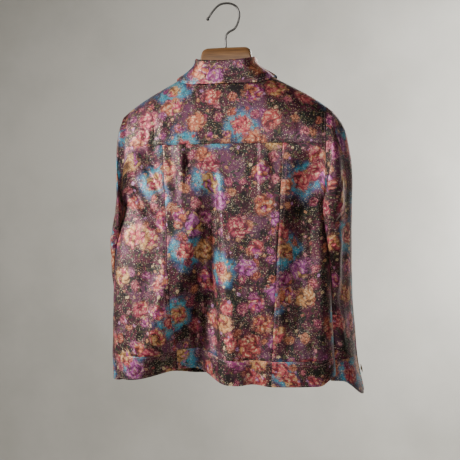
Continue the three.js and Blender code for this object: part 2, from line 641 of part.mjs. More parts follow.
function makeFront() {
  const edge = FRONT_EDGE - SEAM;
  add("front_left", bodyPanel({
    face: -1,
    rows: frontRows,
    marks: [straight(FRONT_EDGE), frontNeck(1), 1],
    columns: [NECK_STEPS, SHOULDER_COLUMNS],
  }), cloth());
  add("front_right", bodyPanel({
    face: -1,
    rows: frontRows,
    marks: [-1, frontNeck(-1), straight(-FRONT_EDGE)],
    columns: [SHOULDER_COLUMNS, NECK_STEPS],
  }), cloth());
  add("placket_under", bodyPanel({
    face: -1, rows: frontRows, marks: [straight(-edge), straight(edge)], columns: [2],
  }), cloth());
  add("placket_over", bodyPanel({
    face: -1,
    rows: frontRows,
    marks: [straight(-PLACKET_HALF), straight(PLACKET_HALF)],
    columns: [2],
    lift: () => CLOTH + LAYER,
  }), cloth());
}

// The waistband: one length across the centre back and one round each side to the front, where
// the right end laps over the left one. Its columns follow those of the panels above.
function makeWaistband() {
  add("waistband_back", bodyPanel({
    face: 1, rows: bandRows, marks: centreMarks, columns: CENTRE_COLUMNS,
  }), cloth());
  const ends = { left: -FRONT_EDGE + 1, right: PLACKET_HALF };
  const lap = { from: -33, over: 15 };
  for (const [name, side] of [["left", 1], ["right", -1]]) {
    const grid = bandRows.map((row) => {
      const z = rowHeight(1, 0, row);
      const front = [side, frontNeck(side)(z), columnAt(side * FRONT_EDGE, z), columnAt(ends[name], z)];
      const round = [
        ...range(0, SIDE_COLUMNS).map((c) => [1, lerp(backSeam(side, 1)(z), side, c / SIDE_COLUMNS)]),
        ...[SHOULDER_COLUMNS, NECK_STEPS, 2].flatMap((count, i) =>
          range(1, count).map((c) => [-1, lerp(front[i], front[i + 1], c / count)]),
        ),
      ];
      return round.map(([face, u]) => ({
        point: bodyAt(face, u, row),
        normal: bodyNormal(face, u, row, [0, BAND_ROW]),
      }));
    });
    const lift = (point) =>
      name === "right" && point.y < 0 ? (CLOTH + LAYER) * ease((point.x - lap.from) / lap.over) : 0;
    add(`waistband_${name}`, wallGeometry(grid, lift), cloth());
  }
}

const mirrored = (side, grid) =>
  side === "left" ? grid : grid.map((line) => line.map((p) => p.setX(-p.x)));

function sleevePoint(side, row, turn, inset) {
  if (row === 0) return mouthPoint(side, turn, inset);
  const wound = SLEEVE_SEAMS.twist * ease(row / CUFF_ROW);
  return ringPoint(side, row, wrap(turn - wound), inset);
}

// A sleeve is a top and an under piece, seamed down the back and the front, with a short slit
// above the cuff in the back seam.
function makeSleeve(side) {
  const rows = [0, ...range(1, CUFF_ROW - 1), CUFF_ROW - 0.003];
  const { back, front } = SLEEVE_SEAMS;
  const between = (from, to) => LOOP_TURNS.filter((t) => t > from + SEAM_CLEAR && t < to - SEAM_CLEAR);
  const pieces = {
    top: [front - 1, ...between(front, 1).map((t) => t - 1), ...between(-0.1, back), back],
    under: [back, ...between(back, front), front],
  };
  for (const [name, turns] of Object.entries(pieces)) {
    const way = name === "top" ? -1 : 1;
    const points = (inset) =>
      rows.map((row) => {
        const girth = 4 * read(SLEEVES[side], "row", Math.max(row, 1), "halfY");
        const gap = HALF_SEAM / girth;
        const slit = side === "right" ? SLIT.width * ease((row - SLIT.row) / (CUFF_ROW - SLIT.row)) : 0;
        return turns.map((turn) => {
          const shift = turn === back ? way * (gap + slit) : -way * gap;
          const onSeam = turn === back || turn === front || turn === front - 1;
          return sleevePoint(side, row, onSeam ? turn + shift : turn, inset);
        });
      });
    add(
      `sleeve_${name}_${side}`,
      shellGeometry(mirrored(side, points(0)), mirrored(side, points(CLOTH))),
      cloth(),
    );
  }
}

// The left cuff is fastened, its back end lapped over the front one. The right one hangs open.
function makeCuff(side) {
  const rows = [CUFF_ROW + 0.008, 12.7, 13.4, CUFF_END];
  const fastened = side === "left";
  const start = SLEEVE_SEAMS.back + (fastened ? -CUFF_LAP : CUFF_GAP / 2);
  const length = fastened ? 1 + CUFF_LAP : 1 - CUFF_GAP;
  const lap = (t) =>
    fastened ? (CLOTH + LAYER) * ease((1.5 * CUFF_LAP - t) / (CUFF_LAP / 2)) : 0;
  const points = (inset) =>
    rows.map((row) =>
      range(0, CUFF_STEPS).map((i) => {
        const t = (length * i) / CUFF_STEPS;
        return sleevePoint(side, row, start + t, inset - lap(t));
      }),
    );
  add(
    `cuff_${side}`,
    shellGeometry(mirrored(side, points(0)), mirrored(side, points(CLOTH))),
    cloth(),
  );
}

// The neckline's points from the centre back round to the front edge on one side, where the
// panels have columns, with one more on the straight between each two.
function necklineStations(side) {
  const frontEdge = angleOf(FRONT_EDGE / TIP_HALF);
  const nodes = [
    ...range(0, NECK_STEPS).map((i) => ({ face: 1, u: (NECK_COLUMN * i) / NECK_STEPS })),
    ...range(1, NECK_STEPS).map((i) => ({ face: -1, u: lerp(NECK_COLUMN, frontEdge, i / NECK_STEPS) })),
  ].map(({ face, u }) => {
    const quarter = Math.asin(Math.min(1, (TIP_HALF * shareOf(u)) / NECK_HALF)) / Math.PI;
    return {
      at: side * (face > 0 ? quarter : 1 - quarter),
      point: bodyAt(face, side * u, LAST_ROW),
      normal: bodyNormal(face, side * u, LAST_ROW, [YOKE_ROW, LAST_ROW]),
    };
  });
  return nodes.flatMap((node, i) => {
    if (i + 1 === nodes.length) return [node];
    const next = nodes[i + 1];
    const halfway = {
      at: (node.at + next.at) / 2,
      point: node.point.clone().lerp(next.point, 0.5),
      normal: node.normal.clone().add(next.normal).normalize(),
    };
    return [node, halfway];
  });
}

// The collar stands up from the neckline, rolls over and falls outside it. Its middle surface
// is worked out first and the wall put round it.
function makeCollar() {
  const stations = [...necklineStations(-1).slice(1).reverse(), ...necklineStations(1)];
  const middle = stations.map((station, i) => {
    const before = stations[Math.max(i - 1, 0)].point;
    const after = stations[Math.min(i + 1, stations.length - 1)].point;
    return collarSection(station, after.clone().sub(before));
  });
  const side = (way) =>
    middle.map((line, r) =>
      line.map((point, c) => {
        const next = middle[Math.min(r + 1, middle.length - 1)][c];
        const around = next.clone().sub(middle[Math.max(r - 1, 0)][c]);
        const up = line[Math.min(c + 1, line.length - 1)].clone().sub(line[Math.max(c - 1, 0)]);
        const normal = around.cross(up).normalize();
        if (c === 0) normal.copy(stations[r].normal).multiplyScalar(-1);
        return point.clone().addScaledVector(normal, (way * CLOTH) / 2);
      }),
    );
  add("collar", shellGeometry(side(1), side(-1)), cloth());
}

function collarFold(at) {
  const place = (column) => read(COLLAR, "at", Math.abs(at), column);
  return new THREE.Vector3(Math.sign(at) * place("foldX"), place("foldY"), place("foldZ"));
}

function collarSection({ at, point, normal }, along) {
  const place = (column) => read(COLLAR, "at", Math.abs(at), column);
  const face = Math.abs(at) <= 0.5 ? 1 : -1;
  const up = normal.clone().cross(along).normalize();
  if (up.z < 0) up.negate();
  const base = point.clone().addScaledVector(normal, -CLOTH / 2).addScaledVector(up, 2 * SEAM);

  const fold = collarFold(at);
  const step = 0.02;
  const run = collarFold(at + step).sub(collarFold(at - step));
  const outward = new THREE.Vector3(-run.y, run.x, 0).normalize();
  const foldIn = fold.clone().addScaledVector(outward, -COLLAR_ROLL);
  const foldOut = fold.clone().addScaledVector(outward, COLLAR_ROLL);

  const edgeX = Math.sign(at) * place("edgeX");
  const edgeZ = place("edgeZ");
  const ground = bodyPoint(face, edgeX / TIP_HALF, Math.min(edgeZ, ridgeHeight(edgeX)));
  const onShoulder = clamp01(Math.abs(Math.abs(at) - 0.5) / 0.1);
  const edge = new THREE.Vector3(edgeX, ground.y + face * place("clear") * onShoulder, edgeZ);

  const down = new THREE.Vector3(0, 0, -1);
  const reach = foldOut.distanceTo(edge);
  const stand = new THREE.CubicBezierCurve3(
    base,
    base.clone().addScaledVector(up, 8),
    foldIn.clone().addScaledVector(down, 10),
    foldIn,
  );
  const fall = new THREE.CubicBezierCurve3(
    foldOut,
    foldOut.clone().addScaledVector(down, reach * 0.3),
    edge.clone().lerp(foldOut, 0.35),
    edge,
  );
  const roll = (t) =>
    fold.clone()
      .addScaledVector(outward, -COLLAR_ROLL * Math.cos(t * Math.PI))
      .addScaledVector(down, -COLLAR_ROLL * Math.sin(t * Math.PI));
  return [
    ...range(0, COLLAR_ROWS.stand - 1).map((i) => stand.getPoint(i / COLLAR_ROWS.stand)),
    ...range(0, COLLAR_ROWS.roll).map((i) => roll(i / COLLAR_ROWS.roll)),
    ...range(1, COLLAR_ROWS.fall).map((i) => fall.getPoint(i / COLLAR_ROWS.fall)),
  ];
}

// A domed button on a short shank, its axis along +Z until it is placed.
function buttonGeometry() {
  const { radius, rim, height, shank, lift, sides } = BUTTON;
  const profile = [
    [0, 0], [shank, 0], [shank, lift], [radius * 0.9, lift], [radius, lift + rim / 2],
    [radius * 0.9, lift + rim], [radius * 0.55, height], [0, height],
  ];
  const outline = profile.map(([r, z]) => new THREE.Vector2(r, z));
  return new THREE.LatheGeometry(outline, sides).rotateX(QUARTER);
}

function addButton(name, point, outward, raised) {
  const button = add(name, buttonGeometry(), brass());
  button.position.copy(point).addScaledVector(outward, raised + SEAM);
  button.quaternion.setFromUnitVectors(new THREE.Vector3(0, 0, 1), outward);
}

function makeButtons() {
  const raised = CLOTH + LAYER;
  const onFront = (z) => {
    const u = columnAt(0, z);
    const row = ROW_Z.findIndex((_, n) => z < ROW_Z[n + 1]);
    const part = (z - ROW_Z[row]) / (ROW_Z[row + 1] - ROW_Z[row]);
    return z > YOKE_Z
      ? [bodyPoint(-1, 0, z), new THREE.Vector3(0, -1, 0)]
      : [bodyAt(-1, u, row + part), bodyNormal(-1, u, row + part, [0, LAST_ROW])];
  };
  for (const i of range(0, FRONT_BUTTONS.count - 1)) {
    const [point, outward] = onFront(FRONT_BUTTONS.top - FRONT_BUTTONS.step * i);
    addButton(`button_front_${i + 1}`, point, outward, raised);
  }
  const [point, outward] = onFront((HEM_Z + BAND_Z) / 2);
  addButton("button_waistband", point, outward, raised);
  const cuffRow = (CUFF_ROW + CUFF_END) / 2;
  const turn = CUFF_BUTTON;
  for (const [side, lift] of [["left", raised], ["right", 0]]) {
    const at = (row, t) => ringPoint(side, row, t, 0);
    const place = at(cuffRow, turn);
    const down = at(cuffRow + 0.1, turn).sub(at(cuffRow - 0.1, turn));
    const around = at(cuffRow, turn + 0.01).sub(at(cuffRow, turn - 0.01));
    const normal = around.cross(down).normalize();
    if (normal.x < 0) normal.negate();
    if (side === "right") {
      place.x *= -1;
      normal.x *= -1;
    }
    addButton(`button_cuff_${side}`, place, normal, lift);
  }
}

// The hanger's wood is a loft: a section at each station, its top shaped to the shoulders.
function makeHanger() {
  const armTop = (x) => ridgeHeight(x) - (CLOTH + HANGER_GAP) * Math.hypot(1, SHOULDER_SLOPE);
  const arms = HANGER_ARM.map((row) => ({ ...row, top: armTop(row.x) }));
  const stations = [...HANGER_NECK, ...arms];
  const between = [94, 130, 165];
  const half = [
    ...stations,
    ...between.map((x) => ({
      x,
      top: armTop(x),
      thick: read(HANGER_ARM, "x", x, "thick"),
      deep: read(HANGER_ARM, "x", x, "deep"),
    })),
  ].sort((a, b) => a.x - b.x);
  const all = [...half.slice(1).reverse().map((row) => ({ ...row, x: -row.x })), ...half];
  // The section, as shares of the half thickness and of the depth below the top.
  const section = [
    { y: 0, low: 0 }, { y: 0.55, low: 0.17 }, { y: 0.9, low: 0.42 }, { y: 1, low: 0.6 },
    { y: 0.9, low: 0.85 }, { y: 0.5, low: 1 },
  ];
  const ring = [...section, ...section.slice(1).reverse().map(({ y, low }) => ({ y: -y, low }))];
  const fall = (row) => (Math.abs(row.x) < 60 ? row.deep : Math.min(row.deep, row.thick * 1.3));
  const positions = all.flatMap((row) =>
    ring.flatMap(({ y, low }) => {
      const drop = low <= 0.6 ? low * fall(row) : lerp(0.6 * fall(row), row.deep, (low - 0.6) / 0.4);
      return [row.x, y * row.thick, row.top - drop];
    }),
  );
  const count = ring.length;
  const faces = [];
  for (let r = 0; r + 1 < all.length; r++) {
    for (let c = 0; c < count; c++) {
      const next = (c + 1) % count;
      const [a, b] = [r * count + c, r * count + next];
      faces.push([a, b, b + count], [a, b + count, a + count]);
    }
  }
  const last = (all.length - 1) * count;
  for (let c = 1; c + 1 < count; c++) faces.push([0, c + 1, c], [last, last + c, last + c + 1]);
  add("hanger_wood", facingOut(positions, faces), wood());
}

function makeHook() {
  const path = new THREE.CatmullRomCurve3(
    HOOK.map(({ x, z }) => new THREE.Vector3(x, 0, z)), false, "centripetal",
  );
  const section = new THREE.Shape();
  section.absarc(0, 0, HOOK_WIRE / 2, 0, 2 * Math.PI);
  const wire = new THREE.ExtrudeGeometry(section, {
    steps: HOOK_STEPS, curveSegments: HOOK_SIDES, extrudePath: path,
  });
  add("hanger_hook", wire, steel());
  const tip = add("hanger_hook_tip", new THREE.SphereGeometry(HOOK_BALL, 10, 7), steel());
  const end = path.getPoint(1);
  const along = path.getTangent(1);
  tip.position.copy(end).addScaledVector(along, HOOK_BALL + SEAM);
}

makeBack();
makeFront();
makeWaistband();
makeCollar();
for (const side of ["left", "right"]) {
  makeSleeve(side);
  makeCuff(side);
}
makeButtons();
makeHanger();
makeHook();

export default jacket;
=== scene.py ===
"""The looks of a trucker jacket on its hanger: cloth shells with their creases, a flower print,
topstitching, buttons, wood and wire. Shapes are worked out in millimetres and stored in metres."""

import math

import bpy
import numpy as np
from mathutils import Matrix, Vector


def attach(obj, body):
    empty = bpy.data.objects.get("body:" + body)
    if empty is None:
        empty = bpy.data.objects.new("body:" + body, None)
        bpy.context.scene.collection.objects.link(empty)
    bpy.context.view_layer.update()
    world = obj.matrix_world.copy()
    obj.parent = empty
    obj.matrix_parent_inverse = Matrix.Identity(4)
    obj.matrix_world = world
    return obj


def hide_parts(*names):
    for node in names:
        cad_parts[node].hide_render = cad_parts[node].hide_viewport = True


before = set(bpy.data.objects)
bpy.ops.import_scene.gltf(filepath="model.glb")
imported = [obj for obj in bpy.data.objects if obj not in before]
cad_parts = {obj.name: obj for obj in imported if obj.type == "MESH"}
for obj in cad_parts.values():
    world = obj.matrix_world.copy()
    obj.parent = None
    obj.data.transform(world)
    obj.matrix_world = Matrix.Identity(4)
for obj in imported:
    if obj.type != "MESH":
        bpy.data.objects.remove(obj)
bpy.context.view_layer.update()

MM = 0.001
THIN = 1.5
LAYER = 2.4
CUFF_THICK = COLLAR_THICK = 2.0

# Heights and half widths of the garment's seams, below the hook and from the centre line.
HEM_Z = -766.0
BAND_Z = -717.0
UNDERARM_Z = -409.0
YOKE_Z = -293.0
TIP_Z = -216.0
NECK_Z = -143.0
NECK_HALF = 78.0
TIP_HALF = 202.0
FRONT_EDGE = 18.0
PLACKET_HALF = 21.0
HALF_SEAM = 0.15
SPREAD = 0.92 * math.pi / 2
ROUNDNESS = {"back": 2.7, "front": 2.2}
EDGE = {"back": 45.0, "front": 42.0}
NECK_DROP = {"back": 20, "front": 72}
SHOULDER_SLOPE = 0.53
SHOULDER_BEND, BEND_FROM = 0.0021, 150


def table(names, *rows):
    """Rows of numbers with named columns, sorted by the first one."""
    values = np.array(sorted(rows), dtype=float)
    return {name: values[:, i] for i, name in enumerate(names.split())} | {"key": values[:, 0]}


def read(rows, value, column):
    """One column of a table at any key between its rows, with smooth slopes and no overshoot."""
    x, y = rows["key"], rows[column]
    value = np.asarray(value, dtype=float)
    slope = np.diff(y) / np.diff(x)
    a, b = slope[:-1], slope[1:]
    total = np.where(a + b == 0, 1, a + b)
    tangent = np.concatenate([slope[:1], np.where(a * b <= 0, 0, 2 * a * b / total), slope[-1:]])
    i = np.clip(np.searchsorted(x, value, side="right") - 1, 0, len(x) - 2)
    width = x[i + 1] - x[i]
    t = np.clip((value - x[i]) / width, 0, 1)
    return (
        y[i] * (2 * t**3 - 3 * t**2 + 1)
        + tangent[i] * width * (t**3 - 2 * t**2 + t)
        + y[i + 1] * (3 * t**2 - 2 * t**3)
        + tangent[i + 1] * width * (t**3 - t**2)
    )


def reads(rows, value, columns):
    return [read(rows, value, column) for column in columns.split()]


def clamp01(t):
    return np.clip(t, 0, 1)


def ease(t):
    t = clamp01(t)
    return t * t * (3 - 2 * t)


def arc(t):
    return np.sqrt(1 - (1 - clamp01(t)) ** 2)


def lerp(a, b, t):
    return a + (b - a) * t


def signed_power(v, power):
    return np.sign(v) * np.abs(v) ** power


def unit(v):
    return v / np.maximum(np.linalg.norm(v, axis=-1, keepdims=True), 1e-9)


def spans(points, axis):
    """The distances between neighbours along one axis of a grid of points."""
    return np.linalg.norm(np.diff(points, axis=axis), axis=-1)


BODY = table(
    "z middle half back front",
    (-766, 3, 225, 68, 56),
    (-690, 9, 226, 68, 56),
    (-600, 12, 225, 68, 56),
    (-510, 12, 220, 67, 55),
    (-430, 8, 210, 66, 54),
    (-370, 4, 204, 66, 53),
    (-293, 0, 202, 65, 51),
    (-216, 0, 202, 61, 49),
    (-120, 0, 202, 57, 48),
)

# The folds of the hang. Each starts at `from`, is deepest at `mid` and ends at `to`.
FOLD = "z from mid to deep"
FOLDS = {
    "back": [
        table(FOLD, (-325, 34, 14, 0, 0), (-400, 52, 20, -2, 15), (-503, 72, 31, -8, 27),
              (-605, 104, 43, -11, 40), (-697, 160, 56, -15, 54), (-766, 202, 66, -18, 66)),
        table(FOLD, (-310, -136, -172, -197, 0), (-400, -118, -166, -198, 17),
              (-490, -104, -158, -202, 24), (-600, -106, -157, -204, 15), (-720, -114, -162, -208, 0)),
        table(FOLD, (-245, 150, 137, 122, 0), (-270, 150, 138, 124, 5), (-293, 152, 140, 126, 4),
              (-320, 152, 142, 128, 0)),
        table(FOLD, (-295, 186, 168, 154, 0), (-330, 174, 156, 140, 9), (-370, 154, 136, 118, 7),
              (-405, 134, 116, 98, 0)),
        table(FOLD, (-372, 206, 190, 170, 0), (-395, 198, 176, 156, 9), (-440, 166, 140, 118, 10),
              (-490, 126, 104, 84, 0)),
        table(FOLD, (-640, -30, -62, -96, 0), (-700, -30, -62, -98, 6), (-766, -28, -62, -100, 9)),
    ],
    "front": [
        table(FOLD, (-300, 128, 104, 82, 0), (-420, 138, 108, 80, 9), (-600, 150, 112, 76, 15),
              (-766, 158, 114, 72, 20)),
        table(FOLD, (-330, -78, -98, -122, 0), (-450, -74, -104, -138, 10), (-620, -70, -108, -148, 15),
              (-766, -66, -110, -156, 18)),
        table(FOLD, (-360, 196, 176, 158, 0), (-430, 184, 160, 136, 6), (-520, 164, 142, 120, 0)),
        table(FOLD, (-360, -158, -176, -196, 0), (-430, -136, -160, -184, 6), (-520, -120, -142, -164, 0)),
    ],
}
PLEAT = {"outer": 104.0, "crest": 77.0, "inner": 70.0}
PLEAT_RISE = table("z rise", (-440, 0), (-380, 4), (-335, 7), (-293, 4))

# Creases on the body, each a bent line from one point by way of another to a third, in x and z,
# with its width and depth. A negative depth is a ridge.
CREASES = {
    "back": [
        (74, -296, 71, -330, 73, -376, 4, 1.6), (-68, -296, -70, -322, -69, -350, 4, 1.4),
        (-97, -298, -100, -330, -104, -372, 6, 1.4), (103, -298, 100, -340, 90, -392, 7, 1.6),
        (88, -330, 84, -392, 96, -470, 9, 1.6), (186, -300, 168, -335, 132, -352, 9, 1.9),
        (196, -340, 176, -360, 148, -364, 7, 1.2), (200, -372, 168, -402, 128, -398, 8, 1.9),
        (204, -404, 176, -446, 132, -470, 10, 2.2), (206, -430, 190, -474, 160, -506, 8, 2.0),
        (-200, -336, -184, -352, -160, -356, 6, 1.6), (-199, -388, -180, -412, -150, -424, 7, 2.4),
        (-200, -414, -184, -452, -150, -482, 8, 2.6), (-196, -300, -186, -330, -180, -372, 6, 2.0),
        (139, -232, 138, -262, 140, -292, 4, 2.2), (158, -226, 154, -252, 160, -288, 6, 1.2),
        (-148, -232, -152, -262, -150, -291, 6, 1.4), (-104, -216, -98, -244, -104, -284, 9, 1.0),
        (62, -196, 70, -232, 60, -288, 10, 0.9), (-20, -190, -10, -232, -16, -286, 12, 0.8),
        (24, -352, 12, -420, 10, -500, 8, 2.4), (36, -440, 38, -560, 60, -720, 15, 6.5),
        (108, -500, 118, -610, 150, -712, 17, -5.0), (26, -530, 22, -640, 8, -745, 9, 8.0),
        (60, -590, 64, -680, 52, -750, 8, 5.5), (92, -540, 100, -610, 130, -690, 12, 2.6),
        (-22, -600, -23, -680, -22, -748, 9, -5.0), (-12, -480, -18, -550, -20, -630, 9, -3.0),
        (-40, -520, -46, -600, -40, -700, 9, 1.6), (-92, -420, -84, -520, -92, -640, 12, 1.4),
        (-126, -560, -134, -640, -130, -712, 8, 1.8), (-182, -560, -190, -620, -184, -700, 8, 1.6),
        (-150, -600, -144, -660, -152, -712, 6, 1.3), (160, -520, 150, -600, 160, -700, 14, 1.8),
        (188, -560, 182, -630, 192, -706, 8, 1.5), (128, -636, 134, -676, 126, -714, 6, 1.4),
        (78, -660, 84, -690, 78, -716, 5, 1.4), (24, -650, 28, -690, 22, -716, 5, 1.2),
        (-70, -670, -66, -694, -70, -716, 4, 1.1), (-100, -676, -104, -698, -100, -716, 4, 1.0),
        (-176, -672, -172, -696, -178, -716, 4, 1.1), (168, -672, 172, -696, 166, -716, 4, 1.2),
        (-206, -520, -190, -542, -176, -548, 5, 1.2), (20, -730, 40, -742, 74, -738, 5, 1.2),
        (-60, -736, -84, -744, -110, -738, 5, 0.8),
    ],
    "front": [
        (-186, -300, -168, -335, -132, -356, 6, 2.2), (-200, -350, -172, -376, -140, -382, 6, 2.0),
        (-200, -400, -172, -430, -132, -442, 8, 2.6), (-204, -420, -186, -462, -150, -496, 8, 2.0),
        (190, -306, 170, -330, 140, -344, 6, 2.0), (200, -360, 176, -384, 146, -386, 6, 1.8),
        (204, -402, 174, -436, 134, -446, 8, 2.6), (206, -424, 188, -466, 152, -502, 8, 2.0),
        (-66, -236, -72, -300, -62, -360, 10, 1.4), (60, -230, 68, -290, 62, -350, 10, 1.6),
        (-40, -330, -44, -420, -36, -520, 10, 1.5), (42, -380, 36, -470, 42, -560, 10, 1.4),
        (-84, -500, -92, -600, -84, -700, 12, 2.0), (-134, -520, -146, -620, -142, -712, 10, 1.8),
        (-180, -540, -190, -620, -186, -704, 9, 1.6), (82, -520, 92, -620, 86, -706, 12, 2.2),
        (140, -540, 150, -630, 146, -712, 10, 1.9), (186, -560, 192, -620, 190, -704, 9, 1.5),
        (-56, -640, -60, -680, -54, -716, 6, 1.2), (54, -650, 60, -684, 54, -716, 6, 1.2),
        (-118, -672, -112, -696, -118, -716, 5, 1.1), (116, -668, 110, -692, 116, -716, 5, 1.1),
    ],
}


def crease_depth(creases, a, b):
    """How far in the creases go at points a, b, with a slight rise beside each trough."""
    total = np.zeros(np.broadcast(a, b).shape)
    for x0, z0, x1, z1, x2, z2, width, depth in creases:
        reach = 4 * width
        near = (
            (a > min(x0, x1, x2) - reach) & (a < max(x0, x1, x2) + reach)
            & (b > min(z0, z1, z2) - reach) & (b < max(z0, z1, z2) + reach)
        )
        if not near.any():
            continue
        t = np.linspace(0, 1, 13)
        px = (1 - t) ** 2 * x0 + 2 * t * (1 - t) * x1 + t * t * x2
        pz = (1 - t) ** 2 * z0 + 2 * t * (1 - t) * z1 + t * t * z2
        qa, qb = a[near][:, None], b[near][:, None]
        dx, dz = np.diff(px), np.diff(pz)
        along = ((qa - px[:-1]) * dx + (qb - pz[:-1]) * dz) / (dx * dx + dz * dz)
        along = np.clip(along, 0, 1)
        ox, oz = qa - px[:-1] - along * dx, qb - pz[:-1] - along * dz
        gap = np.hypot(ox, oz)
        best = gap.argmin(axis=1)
        pick = np.arange(len(best))
        side = np.sign(dx[best] * oz[pick, best] - dz[best] * ox[pick, best])
        distance = gap[pick, best] * side
        place = (best + along[pick, best]) / (len(t) - 1)
        taper = np.sin(np.pi * np.clip(place, 0.02, 0.98)) ** 0.7
        trough = np.exp(-((distance / width) ** 2))
        bank = 0.35 * np.exp(-(((distance - 1.7 * width) / width) ** 2))
        total[near] += depth * taper * (trough - bank)
    return total


def ripple(a, b, scale, seed):
    """A slight unevenness, as sums of long waves."""
    rng = np.random.default_rng(seed)
    out = np.zeros(np.broadcast(a, b).shape)
    for _ in range(7):
        angle = rng.uniform(-0.6, 0.6)
        length = rng.uniform(28, 90)
        phase = rng.uniform(0, 2 * np.pi)
        bend = rng.uniform(0.4, 1.2) * np.sin(b / rng.uniform(60, 150) + rng.uniform(0, 6))
        out += np.sin(2 * np.pi * (a * np.cos(angle) + b * np.sin(angle)) / length + phase + bend)
    return scale * out / 3


def pucker(a, distance, reach, depth, seed):
    """Short gathers across a line of stitching, fading with the distance from it."""
    rng = np.random.default_rng(seed)
    wave = sum(np.sin(2 * np.pi * a / rng.uniform(7, 16) + rng.uniform(0, 6)) for _ in range(4)) / 3
    return depth * wave * np.exp(-((distance / reach) ** 2))


def back_seam_x(z):
    return lerp(99.0, 120.0, clamp01((z - BAND_Z) / (YOKE_Z - BAND_Z)))


def ridge_height(x):
    out = np.abs(x)
    fall = np.maximum(0, out - BEND_FROM)
    return NECK_Z - SHOULDER_SLOPE * (out - NECK_HALF) - SHOULDER_BEND * fall * fall


def top_height(face, x):
    share = np.minimum(np.abs(x) / NECK_HALF, 1)
    bowl = 1 - share * share
    inside = NECK_Z - (NECK_DROP["back"] * bowl if face > 0 else NECK_DROP["front"] * bowl**0.8)
    return np.where(np.abs(x) >= NECK_HALF, ridge_height(x), inside)


def fold_depth(folds, x, z):
    depth = np.zeros(np.broadcast(x, z).shape)
    for rows in folds:
        inside = (z <= rows["key"][-1]) & (z >= rows["key"][0])
        mid = read(rows, z, "mid")
        edge = np.where(x > mid, read(rows, z, "from"), read(rows, z, "to"))
        across = (x - mid) / (edge - mid)
        bump = 0.5 * (1 + np.cos(np.pi * np.clip(across, 0, 1)))
        depth += np.where(inside & (across < 1), read(rows, z, "deep") * bump, 0)
    return depth


def pleat_rise(x, z):
    out = np.abs(x)
    rise = read(PLEAT_RISE, z, "rise")
    outer = rise * ease((PLEAT["outer"] - out) / (PLEAT["outer"] - PLEAT["crest"]))
    inner = rise * ease((out - PLEAT["inner"]) / (PLEAT["crest"] - PLEAT["inner"]))
    return np.where(z > YOKE_Z, 0, np.where(out > PLEAT["crest"], outer, inner))


def seam_relief(face, x, z):
    """The dip along a seam and the raised seam allowance that the topstitching holds down."""
    rise = np.zeros(x.shape)
    lines = [(z - BAND_Z, z > HEM_Z)]
    if face > 0:
        lines.append((z - YOKE_Z, z < 0))
        for side in (1, -1):
            lines.append((side * x - back_seam_x(z), (z < YOKE_Z) & (z > BAND_Z)))
    for distance, there in lines:
        allowance = 0.7 * ease((distance + 1) / 2) * ease((11 - distance) / 2)
        rise += np.where(there, allowance - 1.3 * np.exp(-((distance / 1.8) ** 2)), 0)
    return rise


def body_point(face, share, z, fine=True, raised=0.0):
    """The body's outer surface at a share of its half width and a height."""
    share, z = np.broadcast_arrays(np.asarray(share, float), np.asarray(z, float))
    x = read(BODY, z, "middle") + read(BODY, z, "half") * share
    side = "back" if face > 0 else "front"
    out = np.abs(share)
    above = z - UNDERARM_Z
    soft = EDGE[side] * ease(above / 110)
    rim = EDGE[side] * arc(above / 60)
    edge = np.where(above > 0, lerp(soft, rim, out**14), 0)
    power = lerp(1 / ROUNDNESS[side], 1, ease(above / 110))
    full = np.maximum(0, 1 - out ** ROUNDNESS[side]) ** power
    depth = edge + (read(BODY, z, side) - edge) * full
    lift = arc((ridge_height(x) - z) / 105)
    within = 1 - out**10
    fold = fold_depth(FOLDS[side], x, z) * within
    pleat = pleat_rise(x, z) if face > 0 else 0
    y = (depth + pleat - fold) * lift
    if fine:
        calm = within * ease((ridge_height(x) - z) / 30)
        small = -crease_depth(CREASES[side], x, z) + ripple(x, z, 0.7, 3 if face > 0 else 8)
        small += pucker(x, z - BAND_Z - 4, 16, 0.5, 21) + pucker(x, z - HEM_Z - 6, 10, 0.5, 22)
        small += pucker(x, z - YOKE_Z, 12, 0.35, 23)
        small += seam_relief(face, x, z)
        y = y + small * calm
    y = np.maximum(y + raised, HALF_SEAM)
    draw = 0.3 * fold * clamp01((-560 - z) / (-560 - HEM_Z))
    curl = 16 * ease((-share - 0.86) / 0.14) * clamp01((-700 - z) / (-700 - HEM_Z))
    return np.stack([x, face * y, z + draw + curl], axis=-1)


def share_at(x, z):
    return (x - read(BODY, z, "middle")) / read(BODY, z, "half")


def share_of(u):
    return np.sin(u * SPREAD) / math.sin(SPREAD)


def angle_of(share):
    return np.arcsin(np.clip(share, -1, 1) * math.sin(SPREAD)) / SPREAD


def column_at(x, z):
    return angle_of(share_at(x, z))


NECK_COLUMN = float(angle_of(NECK_HALF / TIP_HALF))


def grid_normals(points):
    """Directions square to a grid of points, all on one side of it."""
    return unit(np.cross(np.gradient(points, axis=1), np.gradient(points, axis=0)))


def metric(points):
    """Flat coordinates in metres: the length up each column, and across it what the rows' lengths
    leave over, counted from the middle column."""
    up = spans(points, 0)
    v = np.concatenate([np.zeros((1, points.shape[1])), np.cumsum(up, axis=0)], axis=0)
    across = spans(points, 1)
    level = np.sqrt(np.maximum(across**2 - np.diff(v, axis=1) ** 2, (0.3 * across) ** 2))
    u = np.concatenate([np.zeros((len(points), 1)), np.cumsum(level, axis=1)], axis=1)
    u -= u[:, u.shape[1] // 2][:, None]
    return np.stack([u, v], axis=-1) * MM


def section(turn):
    """How far out and how far back a sleeve's section goes, as shares, at a turn round it."""
    angle = turn * 2 * np.pi
    return signed_power(np.cos(angle), SECTION_POWER), signed_power(np.sin(angle), SECTION_POWER)


